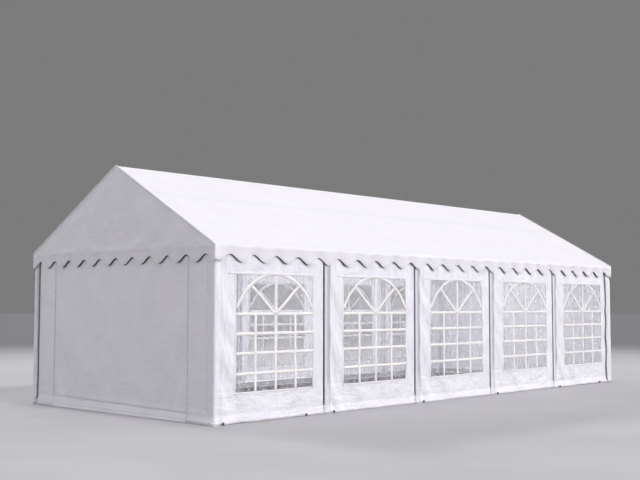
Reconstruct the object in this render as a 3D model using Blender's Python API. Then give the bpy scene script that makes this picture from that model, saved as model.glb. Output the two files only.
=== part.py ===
"""Marquee tent: six portals of steel tube under a white PVC roof with scalloped valances, walled by windowed
side panels and by end walls with a wide zipped panel.

Metres, +Z up. The origin is on the ground at the middle of the footprint. The ridge runs along Y, and the
front faces -Y. Bays and legs count from the front on the right side (+X), and from the back on the left."""

import math

import bmesh
import bpy
from mathutils import Matrix, Vector

# Overall sizes: the width and length are over the outer faces of the walls
TENT_WIDTH = 4.0
TENT_LENGTH = 10.0
EAVE_HEIGHT = 2.2
RIDGE_HEIGHT = 3.34
BAY_COUNT = 5

# Cloth
CLOTH = 0.003
CLEARANCE = 0.0003
OVERHANG = 0.045
VALANCE_SHORT = 0.115
VALANCE_LONG = 0.235
SIDE_SCALLOPS_PER_BAY = 5
GABLE_SCALLOPS = 11
STEPS_PER_SCALLOP = 8
HEM_CLEARANCE = 0.01

# Side panels and their windows
WINDOW_WIDTH = 1.375
WINDOW_SILL = 0.38
WINDOW_HEAD = 1.84
WINDOW_SHIFT = 0.018
FILM_LAP = 0.03
POLE_ROLL_HALF_WIDTH = 0.048
POLE_ROLL_RISE = 0.01
POLE_ROLL_STEPS = 8
PANEL_TAIL = 0.065
WIDE_FLAP = 0.14
NARROW_FLAP = 0.055
CORNER_STEPS = 5

# End walls
DOOR_WIDTH = 3.0
DOOR_HEIGHT = 2.1
WALL_SLIT = 0.01

# Frame: a sleeve is the outside of a fitting, into which a tube is plugged
SLEEVE_RADIUS = 0.025
STUB_RADIUS = 0.0245
TUBE_RADIUS = 0.0225
BAR_RADIUS = 0.019
SLEEVE_LENGTH = 0.12
STUB_RISE = 0.012
STUB_START = 0.005
TUBE_SIDES = 16

# Feet
FOOT_WIDTH = 0.12
FOOT_THICKNESS = 0.006
SOCKET_TOP = 0.16
BASE_RAIL_HEIGHT = 0.09

# From a cloth's outer face to the axis of the fittings that carry it, and so to the legs
SEAT_DEPTH = CLOTH + CLEARANCE + SLEEVE_RADIUS
POST_X = TENT_WIDTH / 2 - SEAT_DEPTH
POST_Y = TENT_LENGTH / 2 - SEAT_DEPTH
BAY_LENGTH = 2 * POST_Y / BAY_COUNT
WRAP_RADIUS = SLEEVE_RADIUS + CLEARANCE

# The roof's slopes, and the axes of the tubes below them
ROOF_HALF_WIDTH = TENT_WIDTH / 2 + OVERHANG
ROOF_HALF_LENGTH = TENT_LENGTH / 2 + OVERHANG
ROOF_RISE = (RIDGE_HEIGHT - EAVE_HEIGHT) / ROOF_HALF_WIDTH
ROOF_ANGLE = math.atan(ROOF_RISE)
RIDGE_AXIS_Z = RIDGE_HEIGHT - SEAT_DEPTH / math.cos(ROOF_ANGLE)
EAVE_AXIS_Z = RIDGE_AXIS_Z - POST_X * ROOF_RISE

HALF_TURN = math.pi


def clear_scene():
    """Removes what the startup scene holds."""
    for obj in list(bpy.data.objects):
        bpy.data.objects.remove(obj)


def make_material(name, colour, roughness, metallic=0.0, alpha=1.0):
    """A material with one Principled BSDF."""
    material = bpy.data.materials.new(name)
    material.use_nodes = True
    shader = material.node_tree.nodes["Principled BSDF"]
    shader.inputs["Base Color"].default_value = (*colour, 1.0)
    shader.inputs["Roughness"].default_value = roughness
    shader.inputs["Metallic"].default_value = metallic
    shader.inputs["Alpha"].default_value = alpha
    material.diffuse_color = (*colour, alpha)
    return material


def roof_cloth(name):
    """Heavy white PVC of the roof and gables."""
    return make_material(name, (0.88, 0.89, 0.90), 0.42)


def wall_cloth(name):
    """Lighter white PVC of the walls."""
    return make_material(name, (0.84, 0.85, 0.86), 0.48)


def clear_film(name):
    """Clear film of the windows, slightly hazy."""
    return make_material(name, (0.80, 0.84, 0.86), 0.18, alpha=0.35)


def zinc_steel(name):
    """Galvanised tube of the frame."""
    return make_material(name, (0.60, 0.62, 0.64), 0.38, metallic=0.9)


def new_object(name, mesh, finish):
    """An object in the scene, with its own material."""
    obj = bpy.data.objects.new(name, mesh)
    bpy.context.scene.collection.objects.link(obj)
    obj.data.materials.clear()
    obj.data.materials.append(finish(name))
    return obj


def object_of(name, bm, finish, smooth=False):
    """The finished bmesh as an object. Round pieces are smooth, with their edges kept sharp."""
    mesh = bpy.data.meshes.new(name)
    bmesh.ops.recalc_face_normals(bm, faces=bm.faces)
    bm.to_mesh(mesh)
    bm.free()
    if smooth:
        mesh.shade_smooth()
        mesh.set_sharp_from_angle(angle=math.radians(40))
    return new_object(name, mesh, finish)


def turned_copy(obj, name, finish):
    """A copy of the object, turned half round about Z at the origin, with its own mesh and material."""
    copy = obj.copy()
    copy.name = name
    copy.data = obj.data.copy()
    copy.data.materials.clear()
    copy.data.materials.append(finish(name))
    copy.location = Matrix.Rotation(HALF_TURN, 3, "Z") @ obj.location
    copy.rotation_euler.z += HALF_TURN
    bpy.context.scene.collection.objects.link(copy)
    return copy


def tube(name, start, end, radius, finish=zinc_steel):
    """A round bar from start to end."""
    start, end = Vector(start), Vector(end)
    length = (end - start).length
    bm = bmesh.new()
    bmesh.ops.create_cone(
        bm,
        cap_ends=True,
        segments=TUBE_SIDES,
        radius1=radius,
        radius2=radius,
        depth=length,
        matrix=Matrix.Translation((0, 0, length / 2)),
    )
    obj = object_of(name, bm, finish, smooth=True)
    obj.location = start
    obj.rotation_euler = (end - start).to_track_quat("Z", "Y").to_euler()
    return obj


def slab(name, low, high, finish):
    """A rectangular block between two corners."""
    low, high = Vector(low), Vector(high)
    bm = bmesh.new()
    bmesh.ops.create_cube(bm, size=1.0)
    bmesh.ops.scale(bm, vec=high - low, verts=bm.verts)
    bmesh.ops.translate(bm, vec=(low + high) / 2, verts=bm.verts)
    return object_of(name, bm, finish)


def fused(name, pieces):
    """One solid from overlapping pieces, which it uses up."""
    base, *others = pieces
    for other in others:
        union = base.modifiers.new("join " + other.name, "BOOLEAN")
        union.operation = "UNION"
        union.object = other
    graph = bpy.context.evaluated_depsgraph_get()
    mesh = bpy.data.meshes.new_from_object(base.evaluated_get(graph))
    mesh.transform(base.matrix_world)
    mesh.name = name
    for piece in pieces:
        bpy.data.objects.remove(piece)
    return new_object(name, mesh, zinc_steel)


def extruded_outline(name, outline, finish):
    """A flat cloth with the given (x, z) outline, its outer face at y = 0 and its thickness towards +Y."""
    bm = bmesh.new()
    face = bm.faces.new([bm.verts.new((x, 0, z)) for x, z in outline])
    grown = bmesh.ops.extrude_face_region(bm, geom=[face])
    corners = [item for item in grown["geom"] if isinstance(item, bmesh.types.BMVert)]
    bmesh.ops.translate(bm, vec=(0, CLOTH, 0), verts=corners)
    return object_of(name, bm, finish)


def sheet(name, columns, finish, holes=(), outwards=True):
    """A thick cloth on a grid of points. Each hole is the (column, row) of a cell that is left out. The
    thickness is added on the outer face, or on the inner one."""
    bm = bmesh.new()
    grid = [[bm.verts.new(point) for point in column] for column in columns]
    for i in range(len(grid) - 1):
        for j in range(len(grid[i]) - 1):
            if (i, j) not in holes:
                bm.faces.new((grid[i][j], grid[i + 1][j], grid[i + 1][j + 1], grid[i][j + 1]))
    mesh = bpy.data.meshes.new(name)
    bm.to_mesh(mesh)
    bm.free()
    obj = new_object(name, mesh, finish)
    thickness = obj.modifiers.new("cloth", "SOLIDIFY")
    thickness.thickness = CLOTH
    thickness.offset = 1.0 if outwards else -1.0
    thickness.use_even_offset = True
    return obj


def post_y(index):
    """The place along the tent of a bay line, counted from 0 at the front."""
    return -POST_Y + index * BAY_LENGTH


def inward(index):
    """Which way the bars leave an end portal: +1, -1, or 0 where they leave on both sides."""
    return {0: 1, BAY_COUNT: -1}.get(index, 0)


def sleeve_span(index, outer_end):
    """Both ends along Y of the sleeve at a bay line. At an end portal it stops outer_end past the axis."""
    y, side = post_y(index), inward(index)
    return (
        y - (outer_end if side > 0 else SLEEVE_LENGTH),
        y + (outer_end if side < 0 else SLEEVE_LENGTH),
    )


def scallop(distance, pitch, count):
    """Height of a valance's lower edge, at a distance from its middle. It is longest where scallops meet."""
    middle = (VALANCE_SHORT + VALANCE_LONG) / 2
    swing = (VALANCE_LONG - VALANCE_SHORT) / 2
    scallops_to_end = max(count / 2 - abs(distance) / pitch, 0)
    return EAVE_HEIGHT - middle - swing * math.cos(2 * math.pi * scallops_to_end)


def scallop_places(half_length, pitch, count):
    """Places along a valance where its edge is drawn, ends included."""
    steps = count * STEPS_PER_SCALLOP
    inner = [(i / steps - 0.5) * count * pitch for i in range(steps + 1)]
    inner = [place for place in inner if abs(place) < half_length - CLEARANCE]
    return [-half_length, *inner, half_length]


def build_roof_cover():
    """One cloth from valance to valance, over both slopes."""
    count = SIDE_SCALLOPS_PER_BAY * BAY_COUNT
    pitch = BAY_LENGTH / SIDE_SCALLOPS_PER_BAY
    columns = []
    for y in scallop_places(ROOF_HALF_LENGTH, pitch, count):
        edge = scallop(y, pitch, count)
        columns.append(
            [
                (ROOF_HALF_WIDTH, y, edge),
                (ROOF_HALF_WIDTH, y, EAVE_HEIGHT),
                (0, y, RIDGE_HEIGHT),
                (-ROOF_HALF_WIDTH, y, EAVE_HEIGHT),
                (-ROOF_HALF_WIDTH, y, edge),
            ]
        )
    sheet("roof_cover", columns, roof_cloth, outwards=False)


def build_gables():
    """The triangles that close the roof's ends, with their valances, inside the roof cover's edge."""
    half = ROOF_HALF_WIDTH - CLOTH - CLEARANCE
    drop = (CLOTH + CLEARANCE) / math.cos(ROOF_ANGLE)
    pitch = 2 * ROOF_HALF_WIDTH / GABLE_SCALLOPS
    places = scallop_places(half, pitch, GABLE_SCALLOPS)
    outline = [(x, scallop(x, pitch, GABLE_SCALLOPS)) for x in places]
    eave = RIDGE_HEIGHT - drop - half * ROOF_RISE
    outline += [(half, eave), (0, RIDGE_HEIGHT - drop), (-half, eave)]
    front = extruded_outline("gable_front", outline, roof_cloth)
    front.location.y = -ROOF_HALF_LENGTH
    turned_copy(front, "gable_back", roof_cloth)


def arc(centre_y, from_angle, to_angle):
    """Points of the inner face where a panel turns round a corner leg."""
    angles = [from_angle + (to_angle - from_angle) * i / CORNER_STEPS for i in range(CORNER_STEPS + 1)]
    return [(WRAP_RADIUS * math.cos(a), centre_y + WRAP_RADIUS * math.sin(a)) for a in angles]


def pole_roll():
    """Points of the inner face where a panel starts: a raised roll over the leg."""
    points = []
    for i in range(POLE_ROLL_STEPS + 1):
        along = (2 * i / POLE_ROLL_STEPS - 1) * POLE_ROLL_HALF_WIDTH
        rise = POLE_ROLL_RISE * math.cos(math.pi / 2 * along / POLE_ROLL_HALF_WIDTH) ** 2
        points.append((WRAP_RADIUS + rise, along))
    return points


def build_side_panel(bay):
    """A side panel, from the leg that starts its bay to just short of the next leg. The first one starts
    with a wide flap round the corner leg, and the last one ends with a narrow flap."""
    if bay == 0:
        start = [(SEAT_DEPTH - WIDE_FLAP, -WRAP_RADIUS), *arc(0, -math.pi / 2, 0)]
    else:
        start = pole_roll()
    if bay == BAY_COUNT - 1:
        end = [*arc(BAY_LENGTH, 0, math.pi / 2), (SEAT_DEPTH - NARROW_FLAP, BAY_LENGTH + WRAP_RADIUS)]
    else:
        end = [(WRAP_RADIUS, BAY_LENGTH - PANEL_TAIL)]
    middle = BAY_LENGTH / 2 + WINDOW_SHIFT
    window = [(WRAP_RADIUS, middle - WINDOW_WIDTH / 2), (WRAP_RADIUS, middle + WINDOW_WIDTH / 2)]
    heights = (HEM_CLEARANCE, WINDOW_SILL, WINDOW_HEAD, EAVE_AXIS_Z)
    columns = [[(x, y, z) for z in heights] for x, y in [*start, *window, *end]]
    panel = sheet(f"side_panel_right_{bay + 1}", columns, wall_cloth, holes={(len(start), 1)})
    panel.location = (POST_X, post_y(bay), 0)
    turned_copy(panel, f"side_panel_left_{bay + 1}", wall_cloth)


def build_window_film(bay):
    """Clear film behind a side panel's window, lapping the cloth all round."""
    middle = BAY_LENGTH / 2 + WINDOW_SHIFT
    outer = WRAP_RADIUS - CLEARANCE
    film = slab(
        f"window_film_right_{bay + 1}",
        (outer - CLOTH, middle - WINDOW_WIDTH / 2 - FILM_LAP, WINDOW_SILL - FILM_LAP),
        (outer, middle + WINDOW_WIDTH / 2 + FILM_LAP, WINDOW_HEAD + FILM_LAP),
        clear_film,
    )
    film.location = (POST_X, post_y(bay), 0)
    turned_copy(film, f"window_film_left_{bay + 1}", clear_film)


def build_end_walls():
    """An end wall up to the end rafters, with its doorway, and the zipped panel that closes the doorway."""
    jamb = DOOR_WIDTH / 2
    right = TENT_WIDTH / 2 - WIDE_FLAP - CLEARANCE
    left = TENT_WIDTH / 2 - NARROW_FLAP - WALL_SLIT
    outline = [
        (-left, HEM_CLEARANCE),
        (-jamb, HEM_CLEARANCE),
        (-jamb, DOOR_HEIGHT),
        (jamb, DOOR_HEIGHT),
        (jamb, HEM_CLEARANCE),
        (right, HEM_CLEARANCE),
        (right, RIDGE_AXIS_Z - right * ROOF_RISE),
        (0, RIDGE_AXIS_Z),
        (-left, RIDGE_AXIS_Z - left * ROOF_RISE),
    ]
    wall = extruded_outline("front_wall", outline, wall_cloth)
    door = slab(
        "front_door_panel",
        (CLEARANCE - jamb, 0, HEM_CLEARANCE),
        (jamb - CLEARANCE, CLOTH, DOOR_HEIGHT - CLEARANCE),
        wall_cloth,
    )
    for piece, other_name in ((wall, "back_wall"), (door, "back_door_panel")):
        piece.location.y = -TENT_LENGTH / 2
        turned_copy(piece, other_name, wall_cloth)


def build_legs():
    """Upright tubes between the feet's sockets and the eave fittings."""
    bottom = SOCKET_TOP + CLEARANCE
    top = EAVE_AXIS_Z - SLEEVE_LENGTH - CLEARANCE
    for index in range(BAY_COUNT + 1):
        y = post_y(index)
        leg = tube(f"leg_right_{index + 1}", (POST_X, y, bottom), (POST_X, y, top), TUBE_RADIUS)
        turned_copy(leg, f"leg_left_{index + 1}", zinc_steel)


def build_roof_truss(index):
    """A pair of rafters welded to the ridge fitting."""
    y = post_y(index)
    ridge = Vector((0, y, RIDGE_AXIS_Z))
    low, high = sleeve_span(index, SLEEVE_RADIUS)
    pieces = [tube("ridge sleeve", (0, low, RIDGE_AXIS_Z), (0, high, RIDGE_AXIS_Z), SLEEVE_RADIUS)]
    for side in (1, -1):
        eave = Vector((side * POST_X, y, EAVE_AXIS_Z))
        down = (eave - ridge).normalized()
        foot = eave - down * (SLEEVE_LENGTH + CLEARANCE)
        pieces.append(tube("rafter", ridge, foot, TUBE_RADIUS))
        pieces.append(tube("socket", ridge + down * STUB_START, ridge + down * SLEEVE_LENGTH, STUB_RADIUS))
    fused(f"roof_truss_{index + 1}", pieces)


def build_ridge_bars():
    """Bars between the ridge fittings."""
    reach = SLEEVE_LENGTH + CLEARANCE
    for bay in range(BAY_COUNT):
        start = (0, post_y(bay) + reach, RIDGE_AXIS_Z)
        end = (0, post_y(bay + 1) - reach, RIDGE_AXIS_Z)
        tube(f"ridge_bar_{bay + 1}", start, end, BAR_RADIUS)


def build_eave_rails():
    """A rail along each eave, with a fitting at each leg that takes the leg and the rafter."""
    inset = SLEEVE_LENGTH / 2
    pieces = [
        tube(
            "eave bar",
            (POST_X, post_y(0) + inset, EAVE_AXIS_Z),
            (POST_X, post_y(BAY_COUNT) - inset, EAVE_AXIS_Z),
            BAR_RADIUS,
        )
    ]
    plumb = Vector((0, 0, 1))
    up_slope = Vector((-math.cos(ROOF_ANGLE), 0, math.sin(ROOF_ANGLE)))
    for index in range(BAY_COUNT + 1):
        y = post_y(index)
        corner = Vector((POST_X, y, EAVE_AXIS_Z))
        low, high = sleeve_span(index, 0.0)
        leg_foot, leg_head = corner - plumb * SLEEVE_LENGTH, corner + plumb * STUB_RISE
        rafter_foot, rafter_head = corner + up_slope * STUB_START, corner + up_slope * SLEEVE_LENGTH
        pieces += [
            tube("rail sleeve", (POST_X, low, EAVE_AXIS_Z), (POST_X, high, EAVE_AXIS_Z), SLEEVE_RADIUS),
            tube("leg stub", leg_foot, leg_head, STUB_RADIUS),
            tube("rafter stub", rafter_foot, rafter_head, STUB_RADIUS),
        ]
    right = fused("eave_rail_right", pieces)
    turned_copy(right, "eave_rail_left", zinc_steel)


def build_base_rails():
    """Rails at the ground. The side ones carry the feet, and the end ones run between the corner feet."""
    pieces = [
        tube(
            "base bar",
            (POST_X, post_y(0), BASE_RAIL_HEIGHT),
            (POST_X, post_y(BAY_COUNT), BASE_RAIL_HEIGHT),
            BAR_RADIUS,
        )
    ]
    half = FOOT_WIDTH / 2
    for index in range(BAY_COUNT + 1):
        y = post_y(index)
        socket_foot = (POST_X, y, FOOT_THICKNESS / 2)
        pieces += [
            slab("foot", (POST_X - half, y - half, 0), (POST_X + half, y + half, FOOT_THICKNESS), zinc_steel),
            tube("socket", socket_foot, (POST_X, y, SOCKET_TOP), STUB_RADIUS),
        ]
    right = fused("base_rail_right", pieces)
    turned_copy(right, "base_rail_left", zinc_steel)
    reach = POST_X - STUB_RADIUS - CLEARANCE
    start, end = (-reach, -POST_Y, BASE_RAIL_HEIGHT), (reach, -POST_Y, BASE_RAIL_HEIGHT)
    front = tube("base_rail_front", start, end, BAR_RADIUS)
    turned_copy(front, "base_rail_back", zinc_steel)


def main():
    clear_scene()
    build_roof_cover()
    build_gables()
    for bay in range(BAY_COUNT):
        build_side_panel(bay)
        build_window_film(bay)
    build_end_walls()
    build_legs()
    for index in range(BAY_COUNT + 1):
        build_roof_truss(index)
    build_ridge_bars()
    build_eave_rails()
    build_base_rails()


main()
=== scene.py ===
"""The looks of a white marquee tent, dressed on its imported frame.

Metres, +Z up. The tent stands on the ground at the origin, its ridge runs along Y and its front faces -Y.
What is on the left side or at the back is the right side's or the front's piece turned half round, so bays
count from the back there.
"""

import logging
import math
from collections.abc import Callable, Sequence
from dataclasses import asdict, dataclass, replace
from enum import Enum
from functools import partial, reduce

import bmesh
import bpy
import numpy as np
from mathutils import Matrix, Vector


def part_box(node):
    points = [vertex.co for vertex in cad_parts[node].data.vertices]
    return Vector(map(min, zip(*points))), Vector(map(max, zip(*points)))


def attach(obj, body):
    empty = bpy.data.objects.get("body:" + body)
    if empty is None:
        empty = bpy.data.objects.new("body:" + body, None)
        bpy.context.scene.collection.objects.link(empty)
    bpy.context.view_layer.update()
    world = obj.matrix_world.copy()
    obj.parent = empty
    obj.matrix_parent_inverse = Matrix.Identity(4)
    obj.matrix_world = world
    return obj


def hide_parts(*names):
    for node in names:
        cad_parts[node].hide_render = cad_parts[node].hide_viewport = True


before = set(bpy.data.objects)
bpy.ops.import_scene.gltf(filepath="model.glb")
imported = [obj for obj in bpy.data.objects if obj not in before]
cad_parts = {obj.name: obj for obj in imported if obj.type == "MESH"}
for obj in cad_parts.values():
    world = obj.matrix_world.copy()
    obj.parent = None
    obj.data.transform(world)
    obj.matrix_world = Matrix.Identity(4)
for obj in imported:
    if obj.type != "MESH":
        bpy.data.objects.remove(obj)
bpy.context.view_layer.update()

LOG = logging.getLogger("marquee")
BODY = "root"
CUT_MAP = "cut"

Array = np.ndarray
BMesh = bmesh.types.BMesh
Material = bpy.types.Material
Node = bpy.types.Node
Socket = bpy.types.NodeSocket
Pair = tuple[float, float]
Triple = tuple[float, float, float]
Place = Callable[[Array, Array], Array]


class Slot(Enum):
    """The record's material slots."""

    ROOF = "roof_cloth"
    WALL = "wall_cloth"
    FILM = "window_film"
    BARS = "window_bars"
    ZIP = "zip"
    ZINC = "zinc_steel"


class Turn(Enum):
    """Whether a piece stands where it is drawn, at the right or the front, or half round from there."""

    NONE = 1.0
    HALF = -1.0

    @property
    def side(self) -> str:
        """The name of the long side that the piece is on."""
        return "right" if self is Turn.NONE else "left"

    @property
    def end(self) -> str:
        """The name of the end that the piece is on."""
        return "front" if self is Turn.NONE else "back"

    def points(self, x: Array, y: Array, z: Array) -> Array:
        """The points with this turn, one row each."""
        return np.stack([x * self.value, y * self.value, z], axis=1)


def eased(value: Array, start: float, end: float) -> Array:
    """Rises smoothly from 0 at start to 1 at end."""
    share = np.clip((value - start) / (end - start), 0.0, 1.0)
    return share * share * (3.0 - 2.0 * share)


def ridge(value: Array, middle: float | Array, width: float) -> Array:
    """A soft ridge of height 1 at the middle, about as wide as twice the width."""
    return np.exp(-(((value - middle) / width) ** 2))


def blurred(grid: Array, cells: float) -> Array:
    """The grid with each value spread over that many cells, both ways.

    Args:
        grid: Values on a regular grid.
        cells: The spread, in cells.

    Returns:
        A grid of the same shape.
    """
    reach = max(1, math.ceil(3 * cells))
    weights = np.exp(-0.5 * (np.arange(-reach, reach + 1) / cells) ** 2)
    weights /= weights.sum()
    for axis in (0, 1):
        pad = [(reach, reach) if k == axis else (0, 0) for k in (0, 1)]
        wide = np.pad(grid, pad, mode="edge")
        grid = np.apply_along_axis(np.convolve, axis, wide, weights, mode="valid")
    return grid


def lengths(points: Array) -> Array:
    """The length of a line from its start up to each of its points."""
    return np.concatenate([[0.0], np.cumsum(np.linalg.norm(np.diff(points, axis=0), axis=1))])


def mesh_of(name: str, bm: BMesh) -> bpy.types.Mesh:
    """A mesh from the bmesh, which it uses up."""
    mesh = bpy.data.meshes.new(name)
    bm.to_mesh(mesh)
    bm.free()
    return mesh


def mesh_points(mesh: bpy.types.Mesh) -> Array:
    """The mesh's vertices, one row each."""
    points = np.empty(3 * len(mesh.vertices), np.float32)
    mesh.vertices.foreach_get("co", points)
    return points.reshape(-1, 3).astype(float)


def in_scene(name: str, data: bpy.types.ID) -> bpy.types.Object:
    """A new object of the scene that shows a mesh, a light or a camera."""
    made = bpy.data.objects.new(name, data)
    bpy.context.scene.collection.objects.link(made)
    return made


@dataclass(frozen=True)
class Relief:
    """How far a cloth stands off its flat face, on a regular grid over its cut.

    Attributes:
        low: Lowest corner of the grid on the cut.
        high: Highest corner of the grid on the cut.
        heights: The heights, by column and row.
    """

    low: Pair
    high: Pair
    heights: Array

    @classmethod
    def of_noise(cls, low: Pair, high: Pair, cell: float, seed: int, up: float | None = None) -> "Relief":
        """Random heights with a spread of 1, about cell apart across, and up apart upwards or as far."""
        cells = (cell, up or cell)
        shape = [max(4, math.ceil((high[k] - low[k]) / cells[k]) + 1) for k in (0, 1)]
        return cls(low, high, np.random.default_rng(seed).normal(size=shape))

    def at(self, u: Array, v: Array) -> Array:
        """The height at each place of the cut, on smooth curves through the grid's values."""
        base, weights = [], []
        for k, value in enumerate((u, v)):
            last = self.heights.shape[k] - 1
            place = np.clip((value - self.low[k]) / (self.high[k] - self.low[k]), 0, 1) * last
            cell = np.minimum(np.floor(place), last - 1)
            t = place - cell
            base.append(cell.astype(int))
            before = -0.5 * t + t**2 - 0.5 * t**3
            near = 1 - 2.5 * t**2 + 1.5 * t**3
            far = 0.5 * t + 2 * t**2 - 1.5 * t**3
            beyond = -0.5 * t**2 + 0.5 * t**3
            weights.append((before, near, far, beyond))
        total = np.zeros_like(u, dtype=float)
        for i, weight in enumerate(weights[0]):
            column = np.clip(base[0] + i - 1, 0, self.heights.shape[0] - 1)
            for j, share in enumerate(weights[1]):
                row = np.clip(base[1] + j - 1, 0, self.heights.shape[1] - 1)
                total += weight * share * self.heights[column, row]
        return total


@dataclass(frozen=True)
class FlatCut:
    """A piece of cloth or strip as it is cut, flat, with u to the right and v up.

    Attributes:
        low: Lowest corner.
        high: Highest corner.
        cells: Number of columns and rows of the mesh.
        across: Values of u at which the mesh has a further edge line.
        up: Values of v at which the mesh has a further edge line.
        keep: Says whether the place of a face belongs to the piece.
    """

    low: Pair
    high: Pair
    cells: tuple[int, int]
    across: Sequence[float] = ()
    up: Sequence[float] = ()
    keep: Callable[[float, float], bool] | None = None

    @classmethod
    def even(cls, low: Pair, high: Pair, step: float, **others: object) -> "FlatCut":
        """A cut whose cells are about a step long both ways."""
        cells = tuple(max(1, round((high[k] - low[k]) / step)) for k in (0, 1))
        return cls(low, high, cells, **others)

    @property
    def size(self) -> Pair:
        """Its width and length."""
        return self.high[0] - self.low[0], self.high[1] - self.low[1]

    def flat(self) -> BMesh:
        """The cut as a mesh in the XY plane."""
        bm = bmesh.new()
        bmesh.ops.create_grid(bm, x_segments=self.cells[0], y_segments=self.cells[1], size=0.5)
        bmesh.ops.translate(bm, vec=(0.5, 0.5, 0), verts=bm.verts)
        bmesh.ops.scale(bm, vec=(*self.size, 1), verts=bm.verts)
        bmesh.ops.translate(bm, vec=(*self.low, 0), verts=bm.verts)
        for value in self.across:
            cut_along(bm, (value, 0, 0), (1, 0, 0))
        for value in self.up:
            cut_along(bm, (0, value, 0), (0, 1, 0))
        if self.keep is not None:
            centres = {face: face.calc_center_median() for face in bm.faces}
            outside = [face for face, centre in centres.items() if not self.keep(centre.x, centre.y)]
            bmesh.ops.delete(bm, geom=outside, context="FACES")
        return bm

    def laid(self, place: Place, shape: Callable[[BMesh], None] | None = None) -> BMesh:
        """The cut with each point at its place, and its flat size kept in its own UV map.

        Args:
            place: Gives each point of the cut its place.
            shape: Trims the flat mesh before it is placed.

        Returns:
            The mesh.
        """
        bm = self.flat()
        if shape is not None:
            shape(bm)
        uv = bm.loops.layers.uv.new(CUT_MAP)
        for face in bm.faces:
            for loop in face.loops:
                loop[uv].uv = loop.vert.co.xy
        flat = np.array([vert.co[:2] for vert in bm.verts])
        for vert, point in zip(bm.verts, place(flat[:, 0], flat[:, 1])):
            vert.co = point
        return bm


def cut_along(bm: BMesh, point: Sequence[float], normal: Sequence[float], clear: bool = False) -> None:
    """Gives the mesh an edge line where a plane crosses it.

    Args:
        bm: The mesh.
        point: A point of the plane.
        normal: The plane's normal.
        clear: Removes what lies on the normal's side.
    """
    geometry = [*bm.verts, *bm.edges, *bm.faces]
    bmesh.ops.bisect_plane(bm, geom=geometry, dist=1e-5, plane_co=point, plane_no=normal, clear_outer=clear)


def swept(path: Array, outward: Array, half_width: float, half_depth: float, around: int = 8) -> BMesh:
    """A closed bar with a rounded section that follows a path.

    Args:
        path: The points of its middle line.
        outward: At each point, the direction of its depth.
        half_width: Half its width, square to its depth.
        half_depth: Half its depth.
        around: Number of faces round it.

    Returns:
        The mesh.
    """
    length = float(lengths(path)[-1])
    heading = np.gradient(path, axis=0)
    beside = np.cross(heading, outward)
    beside /= np.linalg.norm(beside, axis=1)[:, None]
    last = len(path) - 1
    girth = 2 * math.pi * half_width

    def place(u: Array, v: Array) -> Array:
        index = np.rint(u / length * last).astype(int)
        angle = 2 * math.pi * v / girth
        depth, width = half_depth * np.sin(angle), half_width * np.cos(angle)
        return path[index] + depth[:, None] * outward[index] + width[:, None] * beside[index]

    bm = FlatCut((0.0, 0.0), (length, girth), (last, around)).laid(place)
    bmesh.ops.remove_doubles(bm, verts=bm.verts, dist=1e-6)
    bmesh.ops.holes_fill(bm, edges=bm.edges, sides=0)
    bmesh.ops.recalc_face_normals(bm, faces=bm.faces)
    return bm


def line(start: Sequence[float], end: Sequence[float], step: float = 0.025) -> Array:
    """Even points from start to end, about a step apart, one row each."""
    count = max(1, round(math.dist(start, end) / step))
    return np.linspace(start, end, count + 1)


def strip(path: Array, width: float, place: Place) -> BMesh:
    """A flat strip that follows a line of the cut it lies on.

    Args:
        path: The strip's middle line, as points of that cut.
        width: Its width.
        place: Gives each point of that cut its place.

    Returns:
        The mesh.
    """
    along = lengths(path)
    heading = np.gradient(path, axis=0)
    heading /= np.linalg.norm(heading, axis=1)[:, None]

    def follow(u: Array, v: Array) -> Array:
        points = [np.interp(u, along, path[:, k]) for k in (0, 1)]
        ahead = [np.interp(u, along, heading[:, k]) for k in (0, 1)]
        return place(points[0] - v * ahead[1], points[1] + v * ahead[0])

    return FlatCut((0.0, -width / 2), (along[-1], width / 2), (len(path) - 1, 2)).laid(follow)


def joined(parts: Sequence[BMesh]) -> BMesh:
    """One mesh from several, which it uses up."""
    whole = bmesh.new()
    whole.loops.layers.uv.new(CUT_MAP)
    for part in parts:
        mesh = mesh_of("part", part)
        whole.from_mesh(mesh)
        bpy.data.meshes.remove(mesh)
    return whole


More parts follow.
